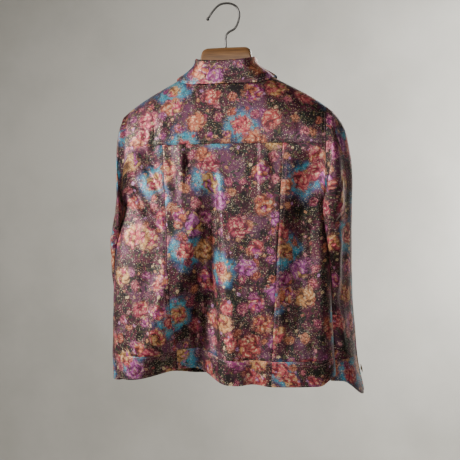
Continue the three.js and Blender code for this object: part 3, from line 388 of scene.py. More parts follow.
def tube_metric(side, rows, turns, points):
    """Flat coordinates in metres on a sleeve: the way round its section from the outer line, and
    the height."""
    row = np.maximum(rows, 1)
    wound = turns - TWIST * ease(rows / CUFF_ROW)
    across, along = section(wound)
    outer, inner, deep = reads(SLEEVES[side], row, "outerX innerX halfY")
    wide = np.abs(outer - inner) / 2
    # Over the sleeve head the way round is longer, so the print meets the armhole straight.
    head_x, head_y = reads(SLEEVES[side], HEAD_ROW, "outerX halfY")
    deep = deep + np.maximum(0, head_x + head_y - (outer + deep))
    outer_half = np.abs(along) * deep + wide * (1 - across)
    inner_half = 2 * deep + wide * (1 - across) - np.abs(along) * deep
    u = np.sign(along) * np.where(across > 0, outer_half, inner_half)
    u += np.floor(wound + 0.5) * 4 * (deep + wide) + np.sign(along) * 12 * np.maximum(0, 1 - rows)
    return np.stack([u, points[..., 2]], axis=-1) * MM


def make_mesh(name, vertices, faces, material, uv=None, smooth=True):
    mesh = bpy.data.meshes.new(name)
    mesh.from_pydata([tuple(v) for v in vertices], [], faces)
    mesh.update()
    if uv is not None:
        layer = mesh.uv_layers.new(name="UVMap")
        loops = np.empty(len(mesh.loops), dtype=np.int32)
        mesh.loops.foreach_get("vertex_index", loops)
        layer.data.foreach_set("uv", np.asarray(uv, dtype=np.float32)[loops].ravel())
    mesh.polygons.foreach_set("use_smooth", [smooth] * len(mesh.polygons))
    mesh.materials.append(material)
    piece = bpy.data.objects.new(name, mesh)
    bpy.context.scene.collection.objects.link(piece)
    return piece


def grid_faces(rows, columns, start, flip):
    quads = []
    for r in range(rows - 1):
        for c in range(columns - 1):
            a = start + r * columns + c
            quad = (a, a + 1, a + 1 + columns, a + columns)
            quads.append(quad[::-1] if flip else quad)
    return quads


SHEETS = []


def ring_faces(rings, around):
    """The faces of a closed tube of rings, with a cap at each end."""
    faces = []
    for r in range(rings - 1):
        for k in range(around):
            a, b = r * around + k, r * around + (k + 1) % around
            faces.append((a, b, b + around, a + around))
    faces.append(tuple(range(around))[::-1])
    faces.append(tuple((rings - 1) * around + k for k in range(around)))
    return faces


def shell(node, points, normals, thick, uv):
    """A closed thin wall of cloth: the outer points and the same ones moved in."""
    rows, columns = points.shape[:2]
    inner = points - normals * thick
    vertices = np.concatenate([points.reshape(-1, 3), inner.reshape(-1, 3)]) * MM
    count = rows * columns
    centre = (rows // 2, columns // 2)
    a, b, c = points[centre], points[centre[0], centre[1] - 1], points[centre[0] - 1, centre[1]]
    flip = float(np.dot(np.cross(a - b, a - c), normals[centre])) < 0
    faces = grid_faces(rows, columns, 0, flip) + grid_faces(rows, columns, count, not flip)
    rim = [r * columns for r in range(rows)]
    rim += [(rows - 1) * columns + c for c in range(1, columns)]
    rim += [r * columns + columns - 1 for r in range(rows - 2, -1, -1)]
    rim += range(columns - 2, 0, -1)
    for i, start in enumerate(rim):
        end = rim[(i + 1) % len(rim)]
        quad = (start, end, end + count, start + count)
        faces.append(quad[::-1] if flip else quad)
    flat = uv.reshape(-1, 2)
    piece = make_mesh(f"cloth_{node}", vertices, faces, CLOTH, np.concatenate([flat, flat]))
    piece.data.set_sharp_from_angle(angle=math.radians(50))
    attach(piece, "root")
    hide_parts(node)
    width = float(spans(points, 1).sum(axis=1).max()) * MM
    length = float(spans(points, 0).sum(axis=0).max()) * MM
    edge_a = np.diff(points, axis=1)[:-1] * MM
    edge_b = np.diff(points, axis=0)[:, :-1] * MM
    area = float(np.linalg.norm(np.cross(edge_a, edge_b), axis=-1).sum())
    SHEETS.append((piece, width, length, area))


# ---------------------------------------------------------------- materials


def rgb(code):
    """The linear colour of a six-digit colour code."""
    parts = [int(code[i : i + 2], 16) / 255 for i in (0, 2, 4)]
    return [p / 12.92 if p <= 0.04045 else ((p + 0.055) / 1.055) ** 2.4 for p in parts] + [1.0]


class Nodes:
    """Builds one material's nodes from short calls."""

    def __init__(self, name):
        self.material = bpy.data.materials.new(name)
        self.material.use_nodes = True
        self.tree = self.material.node_tree
        self.shader = self.tree.nodes["Principled BSDF"]

    def put(self, socket, value):
        if isinstance(value, bpy.types.NodeSocket):
            self.tree.links.new(value, socket)
        else:
            socket.default_value = value

    def node(self, kind, inputs=(), **settings):
        made = self.tree.nodes.new(kind)
        for key, value in settings.items():
            setattr(made, key, value)
        for key, value in dict(inputs).items():
            self.put(made.inputs[key], value)
        return made

    def math(self, operation, a, b=0.0, c=None):
        made = self.node("ShaderNodeMath", operation=operation)
        self.put(made.inputs[0], a)
        self.put(made.inputs[1], b)
        if c is not None:
            self.put(made.inputs[2], c)
        return made.outputs[0]

    def times(self, a, b):
        return self.math("MULTIPLY", a, b)

    def place(self):
        return self.node("ShaderNodeTexCoord").outputs["Object"]

    def spread(self, value, low, high):
        return self.node("ShaderNodeMapRange", {"Value": value, "To Min": low, "To Max": high}).outputs[0]

    def rotated(self, vector, angle):
        made = self.node("ShaderNodeVectorRotate", {"Vector": vector, "Angle": angle}, rotation_type="Z_AXIS")
        return made.outputs[0]

    def wave(self, where, scale, distortion, detail=2.0, direction="DIAGONAL"):
        inputs = {"Vector": where, "Scale": scale, "Distortion": distortion, "Detail": detail}
        return self.node("ShaderNodeTexWave", inputs, bands_direction=direction).outputs[1]

    def vector(self, operation, a, b=(0, 0, 0)):
        made = self.node("ShaderNodeVectorMath", operation=operation)
        self.put(made.inputs[0], a)
        self.put(made.inputs[1], b)
        return made.outputs[1] if operation in ("LENGTH", "DOT_PRODUCT") else made.outputs[0]

    def scaled(self, a, factor):
        made = self.node("ShaderNodeVectorMath", operation="SCALE")
        self.put(made.inputs[0], a)
        made.inputs["Scale"].default_value = factor
        return made.outputs[0]

    def noise(self, where, scale, detail=2.0, rough=0.5):
        inputs = {"Vector": where, "Scale": scale, "Detail": detail, "Roughness": rough}
        return self.node("ShaderNodeTexNoise", inputs)

    def cells(self, where, scale, randomness=1.0):
        return self.node(
            "ShaderNodeTexVoronoi",
            {"Vector": where, "Scale": scale, "Randomness": randomness},
            voronoi_dimensions="2D",
        )

    def ramp(self, value, stops, mode="EASE"):
        made = self.node("ShaderNodeValToRGB", {"Fac": value})
        made.color_ramp.interpolation = mode
        elements = made.color_ramp.elements
        while len(elements) < len(stops):
            elements.new(0.5)
        for element, (place, code) in zip(elements, stops):
            element.position = place
            element.color = rgb(code) if isinstance(code, str) else [code, code, code, 1]
        return made.outputs[0]

    def step(self, value, low, high):
        """0 below low and 1 above high, or the other way round where low is the larger."""
        made = self.node(
            "ShaderNodeMapRange",
            {"Value": value, "From Min": low, "From Max": high},
            interpolation_type="SMOOTHSTEP",
        )
        return made.outputs[0]

    def mix(self, factor, a, b, blend="MIX"):
        made = self.node("ShaderNodeMix", data_type="RGBA", blend_type=blend)
        self.put(made.inputs[0], factor)
        self.put(made.inputs[6], a)
        self.put(made.inputs[7], b)
        return made.outputs[2]

    def split(self, colour):
        return self.node("ShaderNodeSeparateColor", {"Color": colour}).outputs

    def bump(self, height, strength, distance, normal=None):
        made = self.node(
            "ShaderNodeBump", {"Height": height, "Strength": strength, "Distance": distance}
        )
        if normal is not None:
            self.put(made.inputs["Normal"], normal)
        return made.outputs[0]

    def finish(self, **values):
        for key, value in values.items():
            self.put(self.shader.inputs[key.replace("_", " ")], value)
        return self.material


POOL_SHIFT, POOL_SPACING, POOL_LOOSE = (0.071, 0.038, 0), 0.128, 0.72
PETAL_LIGHT, FLOWER_LOOSE = "f8deb2", 0.9


def blossoms(n, where, under, shift, spacing, radius, colours, keep, light, loose):
    """A layer of open flowers, one to a cell: loose petals round a deep heart, over `under`."""
    moved = n.vector("ADD", where, shift)
    cell = n.cells(moved, 1 / spacing, loose)
    local = n.vector("SUBTRACT", moved, cell.outputs["Position"])
    red, green, blue = list(n.split(cell.outputs["Color"]))[:3]
    size = n.math("MULTIPLY_ADD", green, 0.5 * radius, 0.72 * radius)
    ragged = n.noise(moved, 1.3 / radius, 3.0, 0.7).outputs[0]
    frayed = n.noise(moved, 620.0, 2.0, 0.7).outputs[0]
    away = n.math("DIVIDE", n.vector("LENGTH", local), size)
    reach = n.math("ADD", away, n.math("MULTIPLY_ADD", ragged, 1.4, -0.7))
    torn = n.math("ADD", reach, n.math("MULTIPLY_ADD", frayed, 1.1, -0.55))
    shown = n.step(blue, keep, keep + 0.02)
    mask = n.times(n.step(torn, 1.1, 0.8), shown)
    # Petals are small cells, lighter in the middle, with dark gaps, drawn round the heart.
    swirl = n.rotated(local, n.times(away, 1.1))
    placed = n.vector("ADD", swirl, cell.outputs["Position"])
    jitter = n.vector("SUBTRACT", n.noise(moved, 2.4 / radius, 3.0).outputs["Color"], (0.5, 0.5, 0.5))
    curled = n.vector("ADD", placed, n.scaled(jitter, 0.7 * radius))
    petal = n.cells(curled, 1 / (0.42 * radius), 1.0)
    tip = n.math("ADD", petal.outputs["Distance"], n.math("MULTIPLY_ADD", frayed, 0.5, -0.25))
    own = n.split(petal.outputs["Color"])[0]
    base = n.ramp(n.math("MULTIPLY_ADD", own, 0.1, red), colours, "CONSTANT")
    pale = n.times(n.step(tip, 0.4, 0.05), n.math("MULTIPLY_ADD", own, 0.7, 0.1))
    colour = n.mix(pale, base, rgb(light))
    colour = n.mix(n.times(n.step(tip, 0.38, 0.75), 0.8), colour, rgb("3a1420"))
    colour = n.mix(n.times(n.step(reach, 0.35, 0.05), 0.55), colour, rgb("6a1522"))
    colour = n.mix(n.times(n.step(reach, 0.6, 1.05), 0.5), colour, rgb("4c2434"))
    return n.mix(mask, under, colour)


def print_material():
    n = Nodes("flower_print_cloth")
    flat = n.node("ShaderNodeUVMap", uv_map="UVMap").outputs[0]
    sway = n.noise(flat, 38.0, 2.0)
    shift = n.vector("SUBTRACT", sway.outputs["Color"], (0.5, 0.5, 0.5))
    where = n.vector("ADD", flat, n.scaled(shift, 0.012))

    broad = n.noise(flat, 24.0, 4.0, 0.6).outputs[0]
    ground = n.ramp(broad, [(0.33, "0f090b"), (0.42, "35121e"), (0.5, "5c2036"), (0.57, "26151c"),
                            (0.66, "17170f")])
    veil = n.noise(n.vector("ADD", flat, (3.1, 1.7, 0)), 15.0, 2.0).outputs[0]
    ground = n.mix(n.times(n.step(veil, 0.52, 0.64), 0.7), ground, rgb("74405f"))

    # Leaves: narrow ovals, each turned its own way.
    leaf_place = n.vector("ADD", where, (0.3, 0.9, 0))
    leaf = n.cells(leaf_place, 1 / 0.0115, 1.0)
    spot = n.vector("SUBTRACT", leaf_place, leaf.outputs["Position"])
    lean = n.split(leaf.outputs["Color"])
    turned = n.rotated(spot, n.times(lean[0], 6.28))
    long = n.vector("LENGTH", n.vector("MULTIPLY", turned, (1 / 0.0062, 1 / 0.0026, 0)))
    leaf_mask = n.times(n.step(long, 1.1, 0.7), n.step(lean[1], 0.35, 0.4))
    leaf_colour = n.ramp(lean[2], [(0.0, "1c2013"), (0.35, "3a3822"), (0.6, "243629"), (0.85, "544f30")],
                         "CONSTANT")
    colour = n.mix(n.times(leaf_mask, 0.85), ground, leaf_colour)

    # Hazes of turquoise turning blue-violet outwards, with a dark middle.
    pool = n.cells(n.vector("ADD", where, POOL_SHIFT), 1 / POOL_SPACING, POOL_LOOSE)
    mottle = n.noise(flat, 95.0, 4.0, 0.7).outputs[0]
    patch = n.noise(n.vector("ADD", flat, (7.7, 0.4, 0)), 30.0, 1.0).outputs[0]
    haze = n.math("ADD", n.math("MULTIPLY_ADD", patch, 0.34, -0.17), pool.outputs["Distance"])
    blue = n.ramp(haze, [(0.08, "58b4c6"), (0.19, "3a9bb6"), (0.28, "3a6a9c"), (0.36, "574680")])
    shown = n.step(n.split(pool.outputs["Color"])[1], 0.2, 0.22)
    strength = n.times(n.step(haze, 0.36, 0.17), n.step(haze, 0.01, 0.1))
    strength = n.times(strength, n.step(mottle, 0.32, 0.56))
    colour = n.mix(n.times(n.times(strength, shown), 0.92), colour, blue)

    # Fine speckles of cream and gold, thicker in some places.
    dots = n.cells(where, 1 / 0.0024, 1.0)
    dot_colour = n.split(dots.outputs["Color"])
    crowd = n.noise(n.vector("ADD", flat, (0.4, 2.2, 0)), 30.0, 3.0, 0.6).outputs[0]
    dense = n.step(n.math("MULTIPLY_ADD", crowd, 1.5, n.times(dot_colour[0], -0.6)), 0.46, 0.58)
    dot = n.times(n.step(dots.outputs["Distance"], 0.42, 0.22), dense)
    dot_shade = n.ramp(dot_colour[1], [(0.0, "a89e8a"), (0.25, "8a7458"), (0.42, "9a5f60"), (0.6, "66674a"),
                                       (0.88, "dccfb4")], "CONSTANT")
    colour = n.mix(n.times(dot, 0.6), colour, dot_shade)

    warm = [(0.0, "b04058"), (0.14, "c46a4c"), (0.26, "a63a7c"), (0.42, "c9505c"), (0.54, "d0905a"),
            (0.64, "b64a4a"), (0.76, "b455a0"), (0.88, "d29c5e"), (0.97, "bc4660")]
    cool = [(0.0, "96365a"), (0.25, "b85a6c"), (0.45, "a8523e"), (0.6, "8e3674"), (0.8, "b8704e")]
    small = [(0.0, "c87a86"), (0.2, "dcbf92"), (0.4, "a83440"), (0.6, "b878b4"), (0.8, "cf9060")]
    # Each layer's shift, spacing, radius, colours, share left out, petal light and looseness.
    for layer in (
        ((0.21, 0.47, 0), 0.034, 0.0095, cool, 0.35, "e8b8a0", FLOWER_LOOSE),
        ((1.3, 0.6, 0), 0.059, 0.0205, warm, 0.16, PETAL_LIGHT, FLOWER_LOOSE),
        (POOL_SHIFT, POOL_SPACING, 0.0185, warm[3:], -1.0, "ffe6b4", POOL_LOOSE),
        ((2.7, 1.9, 0), 0.018, 0.0036, small, 0.6, PETAL_LIGHT, FLOWER_LOOSE),
    ):
        colour = blossoms(n, where, colour, *layer)

    # A last few light and dark specks over the flowers, and the thread's own slight unevenness.
    flecks = n.cells(n.vector("ADD", where, (5.2, 4.1, 0)), 1 / 0.0026, 1.0)
    fleck_colour = n.split(flecks.outputs["Color"])
    fleck = n.times(n.step(flecks.outputs["Distance"], 0.4, 0.2), n.step(fleck_colour[0], 0.7, 0.74))
    fleck_shade = n.ramp(fleck_colour[1], [(0.0, "e6d6b2"), (0.3, "c79a62"), (0.5, "23161a")], "CONSTANT")
    colour = n.mix(n.times(fleck, 0.6), colour, fleck_shade)
    grain = n.noise(flat, 520.0, 3.0, 0.75).outputs[0]
    colour = n.mix(0.75, colour, n.ramp(grain, [(0.36, 0.28), (0.5, 0.8), (0.62, 1.0)], "LINEAR"), "MULTIPLY")
    thread = n.noise(n.vector("MULTIPLY", flat, (1.0, 0.25, 1.0)), 2400.0, 1.0).outputs[0]
    shade = n.ramp(thread, [(0.3, 0.8), (0.7, 1.0)], "LINEAR")
    colour = n.mix(1.0, colour, shade, "MULTIPLY")

    warp = n.wave(flat, 420.0, 1.5, 1.0)
    weave = n.math("ADD", n.times(warp, 0.5), n.times(thread, 0.6))
    wear = n.noise(flat, 120.0, 3.0, 0.6).outputs[0]
    rough = n.spread(wear, 0.44, 0.6)
    return n.finish(
        Base_Color=colour,
        Metallic=0.48,
        Roughness=rough,
        Normal=n.bump(weave, 0.2, 0.0004, n.bump(wear, 0.15, 0.001)),
        Specular_IOR_Level=0.45,
        Sheen_Weight=0.04,
        Sheen_Roughness=0.3,
        Sheen_Tint=(1.0, 0.85, 0.9, 1.0),
    )


def thread_material():
    n = Nodes("topstitch_thread")
    place = n.place()
    twist = n.wave(place, 900.0, 2.0)
    colour = n.mix(n.times(twist, 0.5), rgb("7a5560"), rgb("a37d76"))
    return n.finish(Base_Color=colour, Roughness=0.55, Normal=n.bump(twist, 0.4, 0.0002), Sheen_Weight=0.2)


def wood_material():
    n = Nodes("varnished_wood")
    place = n.place()
    drawn = n.vector("MULTIPLY", place, (0.6, 6.0, 9.0))
    grain = n.noise(drawn, 22.0, 5.0, 0.65).outputs[0]
    lines = n.wave(drawn, 16.0, 7.0, 3.0, "Z")
    tone = n.math("MULTIPLY_ADD", lines, 0.35, grain)
    colour = n.ramp(tone, [(0.3, "3a2614"), (0.6, "5d3e22"), (0.9, "7a5632")])
    scuffs = n.noise(place, 60.0, 4.0).outputs[0]
    rough = n.spread(scuffs, 0.32, 0.55)
    relief = n.bump(grain, 0.12, 0.001)
    return n.finish(Base_Color=colour, Roughness=rough, Normal=relief, Coat_Weight=0.2, Coat_Roughness=0.35)


def metal_material(name, low, high, rough_low, rough_high):
    n = Nodes(name)
    place = n.place()
    cloud = n.noise(place, 240.0, 5.0, 0.65).outputs[0]
    colour = n.ramp(cloud, [(0.35, low), (0.65, high)])
    rough = n.spread(cloud, rough_low, rough_high)
    return n.finish(Base_Color=colour, Roughness=rough, Metallic=0.95, Normal=n.bump(cloud, 0.08, 0.0005))


def plaster_material():
    n = Nodes("pale_plaster")
    place = n.place()
    cloud = n.noise(place, 0.8, 5.0, 0.6).outputs[0]
    colour = n.ramp(cloud, [(0.35, "a5a29b"), (0.65, "b5b2ab")])
    return n.finish(Base_Color=colour, Roughness=0.9)


CLOTH = print_material()
THREAD = thread_material()
WOOD = wood_material()
STEEL = metal_material("dull_steel", "3c3a3a", "5e5c5a", 0.3, 0.5)
BRASS = metal_material("aged_brass", "4a3a26", "6d5636", 0.28, 0.5)

# ---------------------------------------------------------------- body


def body_rows(low, high, step=3.4):
    """Rows up one face. Above the yoke seam's height they close on the top edge: a row there is
    stored as 1 plus its share of the way, and one below it as a height."""
    count = max(2, round((min(high, YOKE_Z) - low) / step)) if low < YOKE_Z else 0
    rows = [("z", z) for z in np.linspace(low, min(high, YOKE_Z), count + 1)] if count else []
    if high > YOKE_Z:
        rows += [("top", t) for t in np.linspace(0, 1, 36)][(1 if count else 0) :]
    return rows


def body_panel(node, face, marks, counts, uv_shift, low=BAND_Z + HALF_SEAM, high=0, raised=0.0, start=YOKE_Z):
    """A panel of the body between marks across it, with a count of columns between each two."""
    rows = body_rows(low, high)
    shares, heights = [], []
    for kind, value in rows:
        z = value if kind == "z" else YOKE_Z
        stops = [float(mark(z, kind)) if callable(mark) else mark for mark in marks]
        u = np.concatenate(
            [np.linspace(stops[i], stops[i + 1], count, endpoint=False) for i, count in enumerate(counts)]
            + [[stops[-1]]]
        )
        share = share_of(u)
        shares.append(share)
        if kind == "z":
            heights.append(np.full_like(share, z))
        else:
            heights.append(lerp(start, top_height(face, TIP_HALF * share), math.sin(value * math.pi / 2)))
    share, z = np.array(shares), np.array(heights)
    points = body_point(face, share, z, raised=raised)
    normals = grid_normals(points)
    if float((normals[..., 1] * face).mean()) < 0:
        normals = -normals
    flat_side = (np.abs(share) > 1 - 1e-6) & (z < UNDERARM_Z)
    top_row = np.array([kind == "top" and value > 0.999 for kind, value in rows])
    shoulder = top_row[:, None] & (np.abs(share) * TIP_HALF > NECK_HALF - 1)
    normals[..., 1] = np.where(flat_side | shoulder, 0, normals[..., 1])
    shell(node, points, unit(normals), THIN, metric(points) + uv_shift)


def seam_mark(side, way):
    return lambda z, kind: column_at(side * (back_seam_x(z) + way * HALF_SEAM), z)


def straight(x):
    return lambda z, kind: column_at(x, z) if kind == "z" else angle_of(x / TIP_HALF)


body_panel("back_yoke", 1, [-1, -NECK_COLUMN, NECK_COLUMN, 1], [44, 44, 44], (0.13, 0.51),
           low=YOKE_Z + HALF_SEAM, start=YOKE_Z + HALF_SEAM)
for part, marks, columns, uv_shift in (
    ("center", [seam_mark(-1, -1), seam_mark(1, -1)], 84, (0.62, 0.07)),
    ("side_left", [seam_mark(1, 1), 1], 46, (1.21, 0.33)),
    ("side_right", [-1, seam_mark(-1, 1)], 46, (1.84, 0.19)),
):
    body_panel(f"back_{part}", 1, marks, [columns], uv_shift, high=YOKE_Z - HALF_SEAM)
body_panel("front_left", -1, [straight(FRONT_EDGE), 1], [72], (2.4, 0.44))
body_panel("front_right", -1, [-1, straight(-FRONT_EDGE)], [72], (3.1, 0.12))
body_panel("placket_under", -1, [straight(-FRONT_EDGE + 0.3), straight(FRONT_EDGE - 0.3)], [10], (3.7, 0.6))
body_panel("placket_over", -1, [straight(-PLACKET_HALF), straight(PLACKET_HALF)], [12], (3.9, 0.31),
           raised=LAYER)


def band_piece(node, path, uv_shift, lap=None):
    """A length of waistband along a path of face and column."""
    heights = np.linspace(HEM_Z, BAND_Z - HALF_SEAM, 15)
    points = []
    for z in heights:
        line = []
        for face, columns in path(z):
            share = share_of(columns)
            point = body_point(face, share, np.full_like(share, z))
            if lap is not None and face < 0:
                point[:, 1] -= LAYER * ease((point[:, 0] - lap[0]) / lap[1])
            line.append(point)
        points.append(np.concatenate(line))
    points = np.array(points)
    normals = grid_normals(points)
    inside = points.copy()
    inside[..., 1] *= 0.2
    inside[..., 0] *= 0.8
    if float(((points - inside) * normals).sum()) < 0:
        normals = -normals
    shell(node, points, normals, THIN, metric(points) + uv_shift)


def band_side(side, end):
    def path(z):
        back = np.linspace(float(seam_mark(side, 1)(z, "z")), side, 46)
        front = np.linspace(side, float(column_at(end, z)), 84)[1:]
        return [(1, back), (-1, front)]
    return path


def band_back(z):
    return [(1, np.linspace(float(seam_mark(-1, -1)(z, "z")), float(seam_mark(1, -1)(z, "z")), 85))]


band_piece("waistband_back", band_back, (0.4, 1.1))
band_piece("waistband_left", band_side(1, -FRONT_EDGE + 1), (1.1, 1.13))
band_piece("waistband_right", band_side(-1, PLACKET_HALF), (1.9, 1.17), lap=(-33, 15))

# ---------------------------------------------------------------- sleeves

RING = "row outerX outerZ innerX innerZ midY halfY splay"
SLEEVES = {
    "left": table(
        RING,
        (1, 212, -225, 217, -414, 0, 47, 0), (2, 219, -241, 218, -419, -2, 51, 0.02),
        (3, 224, -263, 219, -426, -4, 55, 0.05), (4, 228, -293, 220, -436, -8, 58, 0.09),
        (5, 231, -331, 220, -450, -13, 60, 0.12), (6, 233, -376, 220, -470, -19, 61, 0.13),
        (7, 240, -426, 221, -496, -28, 61, 0.08), (8, 249, -478, 223, -530, -38, 60, 0.02),
        (9, 251, -538, 224, -572, -50, 58, 0.02), (10, 253, -604, 226, -622, -60, 56, 0.04),
        (11, 257, -666, 228, -674, -67, 55, 0.08), (12, 262, -724, 232, -727, -72, 54, 0.1),
        (14, 261, -781, 232, -781, -76, 55, 0.1),
    ),
    "right": table(
        RING,
        (1, 215, -225, 207, -414, 0, 47, 0), (2, 225, -240, 209, -419, -1, 51, 0),
        (3, 235, -262, 211, -426, -3, 56, 0.02), (4, 243, -292, 213, -436, -7, 60, 0.04),
        (5, 248, -330, 215, -449, -12, 63, 0.05), (6, 251, -376, 217, -469, -18, 64, 0.06),
        (7, 250, -428, 219, -497, -27, 64, 0.08), (8, 250, -482, 219, -531, -38, 62, 0.12),
        (9, 250, -542, 217, -573, -51, 59, 0.18), (10, 252, -605, 216, -622, -63, 57, 0.22),
        (11, 257, -666, 220, -674, -71, 55, 0.22), (12, 263, -724, 228, -727, -76, 54, 0.22),
        (14, 273, -781, 238, -781, -80, 55, 0.22),
    ),
}
CUFF_ROW, CUFF_END = 12, 14
DENTS = [(7.3, 0.2, 1, 0.12, 8), (8.7, 0.74, 0.9, 0.14, 6), (9.9, 0.16, 0.8, 0.12, 5)]
SEAM_BACK, SEAM_FRONT, TWIST = 0.15, 0.7, 0.17
CUFF_LAP, CUFF_GAP = 0.09, 0.024
# Creases on the sleeves, in millimetres round from the outer side and down from the armhole.
SLEEVE_CREASES = {
    "left": [
        (30, 20, 60, 70, 66, 130, 7, 2.2), (80, 40, 96, 90, 92, 150, 7, 2.0),
        (20, 330, 44, 344, 80, 338, 6, 3.0), (10, 372, 40, 366, 78, 380, 6, 2.6),
        (14, 408, 36, 414, 70, 404, 5, 2.0), (60, 200, 70, 260, 64, 320, 8, 1.8),
        (180, 340, 204, 352, 232, 344, 6, 2.4), (176, 384, 200, 376, 226, 388, 5, 2.0),
        (150, 60, 164, 120, 160, 190, 8, 2.0), (200, 40, 208, 100, 204, 160, 8, 1.8),
        (40, 450, 46, 500, 38, 556, 7, 1.6), (190, 440, 196, 500, 186, 560, 7, 1.6),
    ],
    "right": [
        (34, 24, 46, 80, 42, 150, 7, 2.2), (70, 60, 82, 110, 78, 170, 7, 2.0),
        (24, 60, 36, 200, 20, 330, 14, 6.0), (18, 250, 30, 400, 14, 560, 14, 6.5),
        (10, 60, -2, 250, 8, 420, 9, -3.0),
        (24, 250, 52, 268, 86, 262, 7, 3.4), (30, 290, 56, 300, 88, 290, 6, 2.8),
        (20, 330, 42, 326, 70, 340, 6, 2.2), (62, 360, 58, 420, 64, 490, 9, 2.2),
        (180, 330, 204, 342, 232, 334, 6, 2.4), (176, 370, 200, 362, 226, 374, 5, 2.0),
        (150, 60, 164, 120, 160, 190, 8, 2.0), (204, 50, 210, 110, 206, 170, 8, 1.8),
        (30, 470, 34, 510, 26, 560, 6, 1.6), (190, 440, 196, 500, 186, 560, 7, 1.6),
    ],
}
SIGN = {"left": 1, "right": -1}
SECTION_POWER = 2 / 2.3
HEAD_ROW = 4
SLIT_ROW, SLIT_HALF, SLEEVE_GAP = 10.6, 0.012, 0.0007


def ring_point(side, row, turn):
    """A point on the outside of a sleeve, mirrored to the left. The turn starts at the outer
    side and goes round by way of the back."""
    rows = SLEEVES[side]
    outer_x, outer_z, inner_x, inner_z, mid = reads(rows, row, "outerX outerZ innerX innerZ midY")
    close = ease((row - 0.8) / 2) * (1.0 if side == "right" else 0.5)
    touch = SIGN[side] * read(BODY, inner_z, "middle") + read(BODY, inner_z, "half") - 8
    inner_x = lerp(inner_x, np.minimum(inner_x, touch), close)
    across, along = section(turn)
    x = (outer_x + inner_x) / 2 + (outer_x - inner_x) / 2 * across
    z = (outer_z + inner_z) / 2 + (outer_z - inner_z) / 2 * across
    y = mid + read(rows, row, "halfY") * along
    x = x - read(rows, row, "splay") * (y - mid)
    for at_row, at_turn, rows_wide, turns_wide, deep in DENTS:
        far = np.hypot((row - at_row) / rows_wide, (turn - at_turn) / turns_wide)
        x = x - np.sign(across) * deep * (1 - ease(far))
    place = np.where(turn > 0.86, turn - 1, turn) * 240
    small = crease_depth(SLEEVE_CREASES[side], place, row * 48)
    small = small + ripple(place, row * 48, 0.5, 31 if side == "left" else 32)
    x = x - np.sign(across) * np.abs(across) ** 0.3 * small * np.where(across < 0, 0.4, 1.0)
    face = np.where(y > 0, 1, -1)
    depth = np.where(face > 0, read(BODY, z, "back"), read(BODY, z, "front"))
    power = np.where(face > 0, ROUNDNESS["back"], ROUNDNESS["front"])
    share = np.maximum(0, 1 - (np.abs(y) / depth) ** power) ** (1 / power)
    edge = SIGN[side] * read(BODY, z, "middle") + read(BODY, z, "half") * share
    rest = edge + 1.8
    x = np.where(z < UNDERARM_Z, np.maximum(x, rest), x)
    if side == "right":
        reach = clamp01((row - CUFF_ROW) / (CUFF_END - CUFF_ROW)) ** 2
        far = np.abs(turn - 0.02)
        near = 1 - ease(np.minimum(far, 1 - far) / 0.22)
        z = z + reach * (12 * np.maximum(0, along) - 24 * near)
        x = x + 6 * reach * near
    return np.stack([x, y, z], axis=-1)


def mouth_point(side, turn):
    z = UNDERARM_Z + (TIP_Z - UNDERARM_Z) * (np.cos(turn * 2 * np.pi) + 1) / 2
    z = np.minimum(z, float(ridge_height(TIP_HALF)) - 0.2)
    back = body_point(1, np.full_like(z, SIGN[side]), z, fine=False)
    front = body_point(-1, np.full_like(z, SIGN[side]), z, fine=False)
    point = np.where((turn < 0.5)[..., None], back, front)
    point[..., 0] = point[..., 0] * SIGN[side] + 0.35
    return point


def sleeve_point(side, row, turn):
    row, turn = np.broadcast_arrays(np.asarray(row, float), np.asarray(turn, float))
    wound = np.mod(turn - TWIST * ease(row / CUFF_ROW), 1)
    ring = ring_point(side, np.maximum(row, 1), wound)
    mouth = mouth_point(side, np.mod(turn, 1))
    share = clamp01(row)[..., None]
    return lerp(mouth, ring, share)


def sleeve_shell(node, side, rows, turns, uv_shift, thick, lift=None):
    points = sleeve_point(side, rows, turns)
    normals = grid_normals(points)
    axis = sleeve_point(side, rows, 0.25) + sleeve_point(side, rows, 0.75)
    axis = axis + sleeve_point(side, rows, 0.0) + sleeve_point(side, rows, 0.5)
    if float(((points - axis / 4) * normals).sum()) < 0:
        normals = -normals
    if lift is not None:
        points = points + normals * lift[..., None]
    if side == "right":
        points = points * [-1, 1, 1]
        normals = normals * [-1, 1, 1]
    shell(node, points, normals, thick, tube_metric(side, rows, turns, points) + uv_shift)


def make_sleeve(side, shift):
    rows = np.concatenate([np.linspace(0, 1, 7)[:-1], np.linspace(1, CUFF_ROW - 0.003, 150)])[:, None]
    slit = SLIT_HALF * ease((rows - SLIT_ROW) / (CUFF_ROW - SLIT_ROW)) if side == "right" else 0 * rows
    gap = SLEEVE_GAP
    top = lerp(SEAM_FRONT - 1 + gap, SEAM_BACK - gap - slit, np.linspace(0, 1, 40))
    under = lerp(SEAM_BACK + gap + slit, SEAM_FRONT - gap, np.linspace(0, 1, 46))
    sleeve_shell(f"sleeve_top_{side}", side, rows + 0 * top, top, (shift, 0.2), THIN)
    sleeve_shell(f"sleeve_under_{side}", side, rows + 0 * under, under, (shift + 0.35, 0.5), THIN)


def make_cuff(side, shift):
    rows = np.linspace(CUFF_ROW + 0.008, CUFF_END, 18)[:, None]
    fastened = side == "left"
    start = SEAM_BACK + (-CUFF_LAP if fastened else CUFF_GAP / 2)
    length = 1 + CUFF_LAP if fastened else 1 - CUFF_GAP
    t = np.linspace(0, length, 92)[None, :]
    lift = LAYER * ease((1.5 * CUFF_LAP - t) / (CUFF_LAP / 2)) if fastened else 0 * t
    turns = start + t + 0 * rows
    sleeve_shell(f"cuff_{side}", side, rows + 0 * t, turns, (shift, 0.9), CUFF_THICK, lift + 0 * rows)


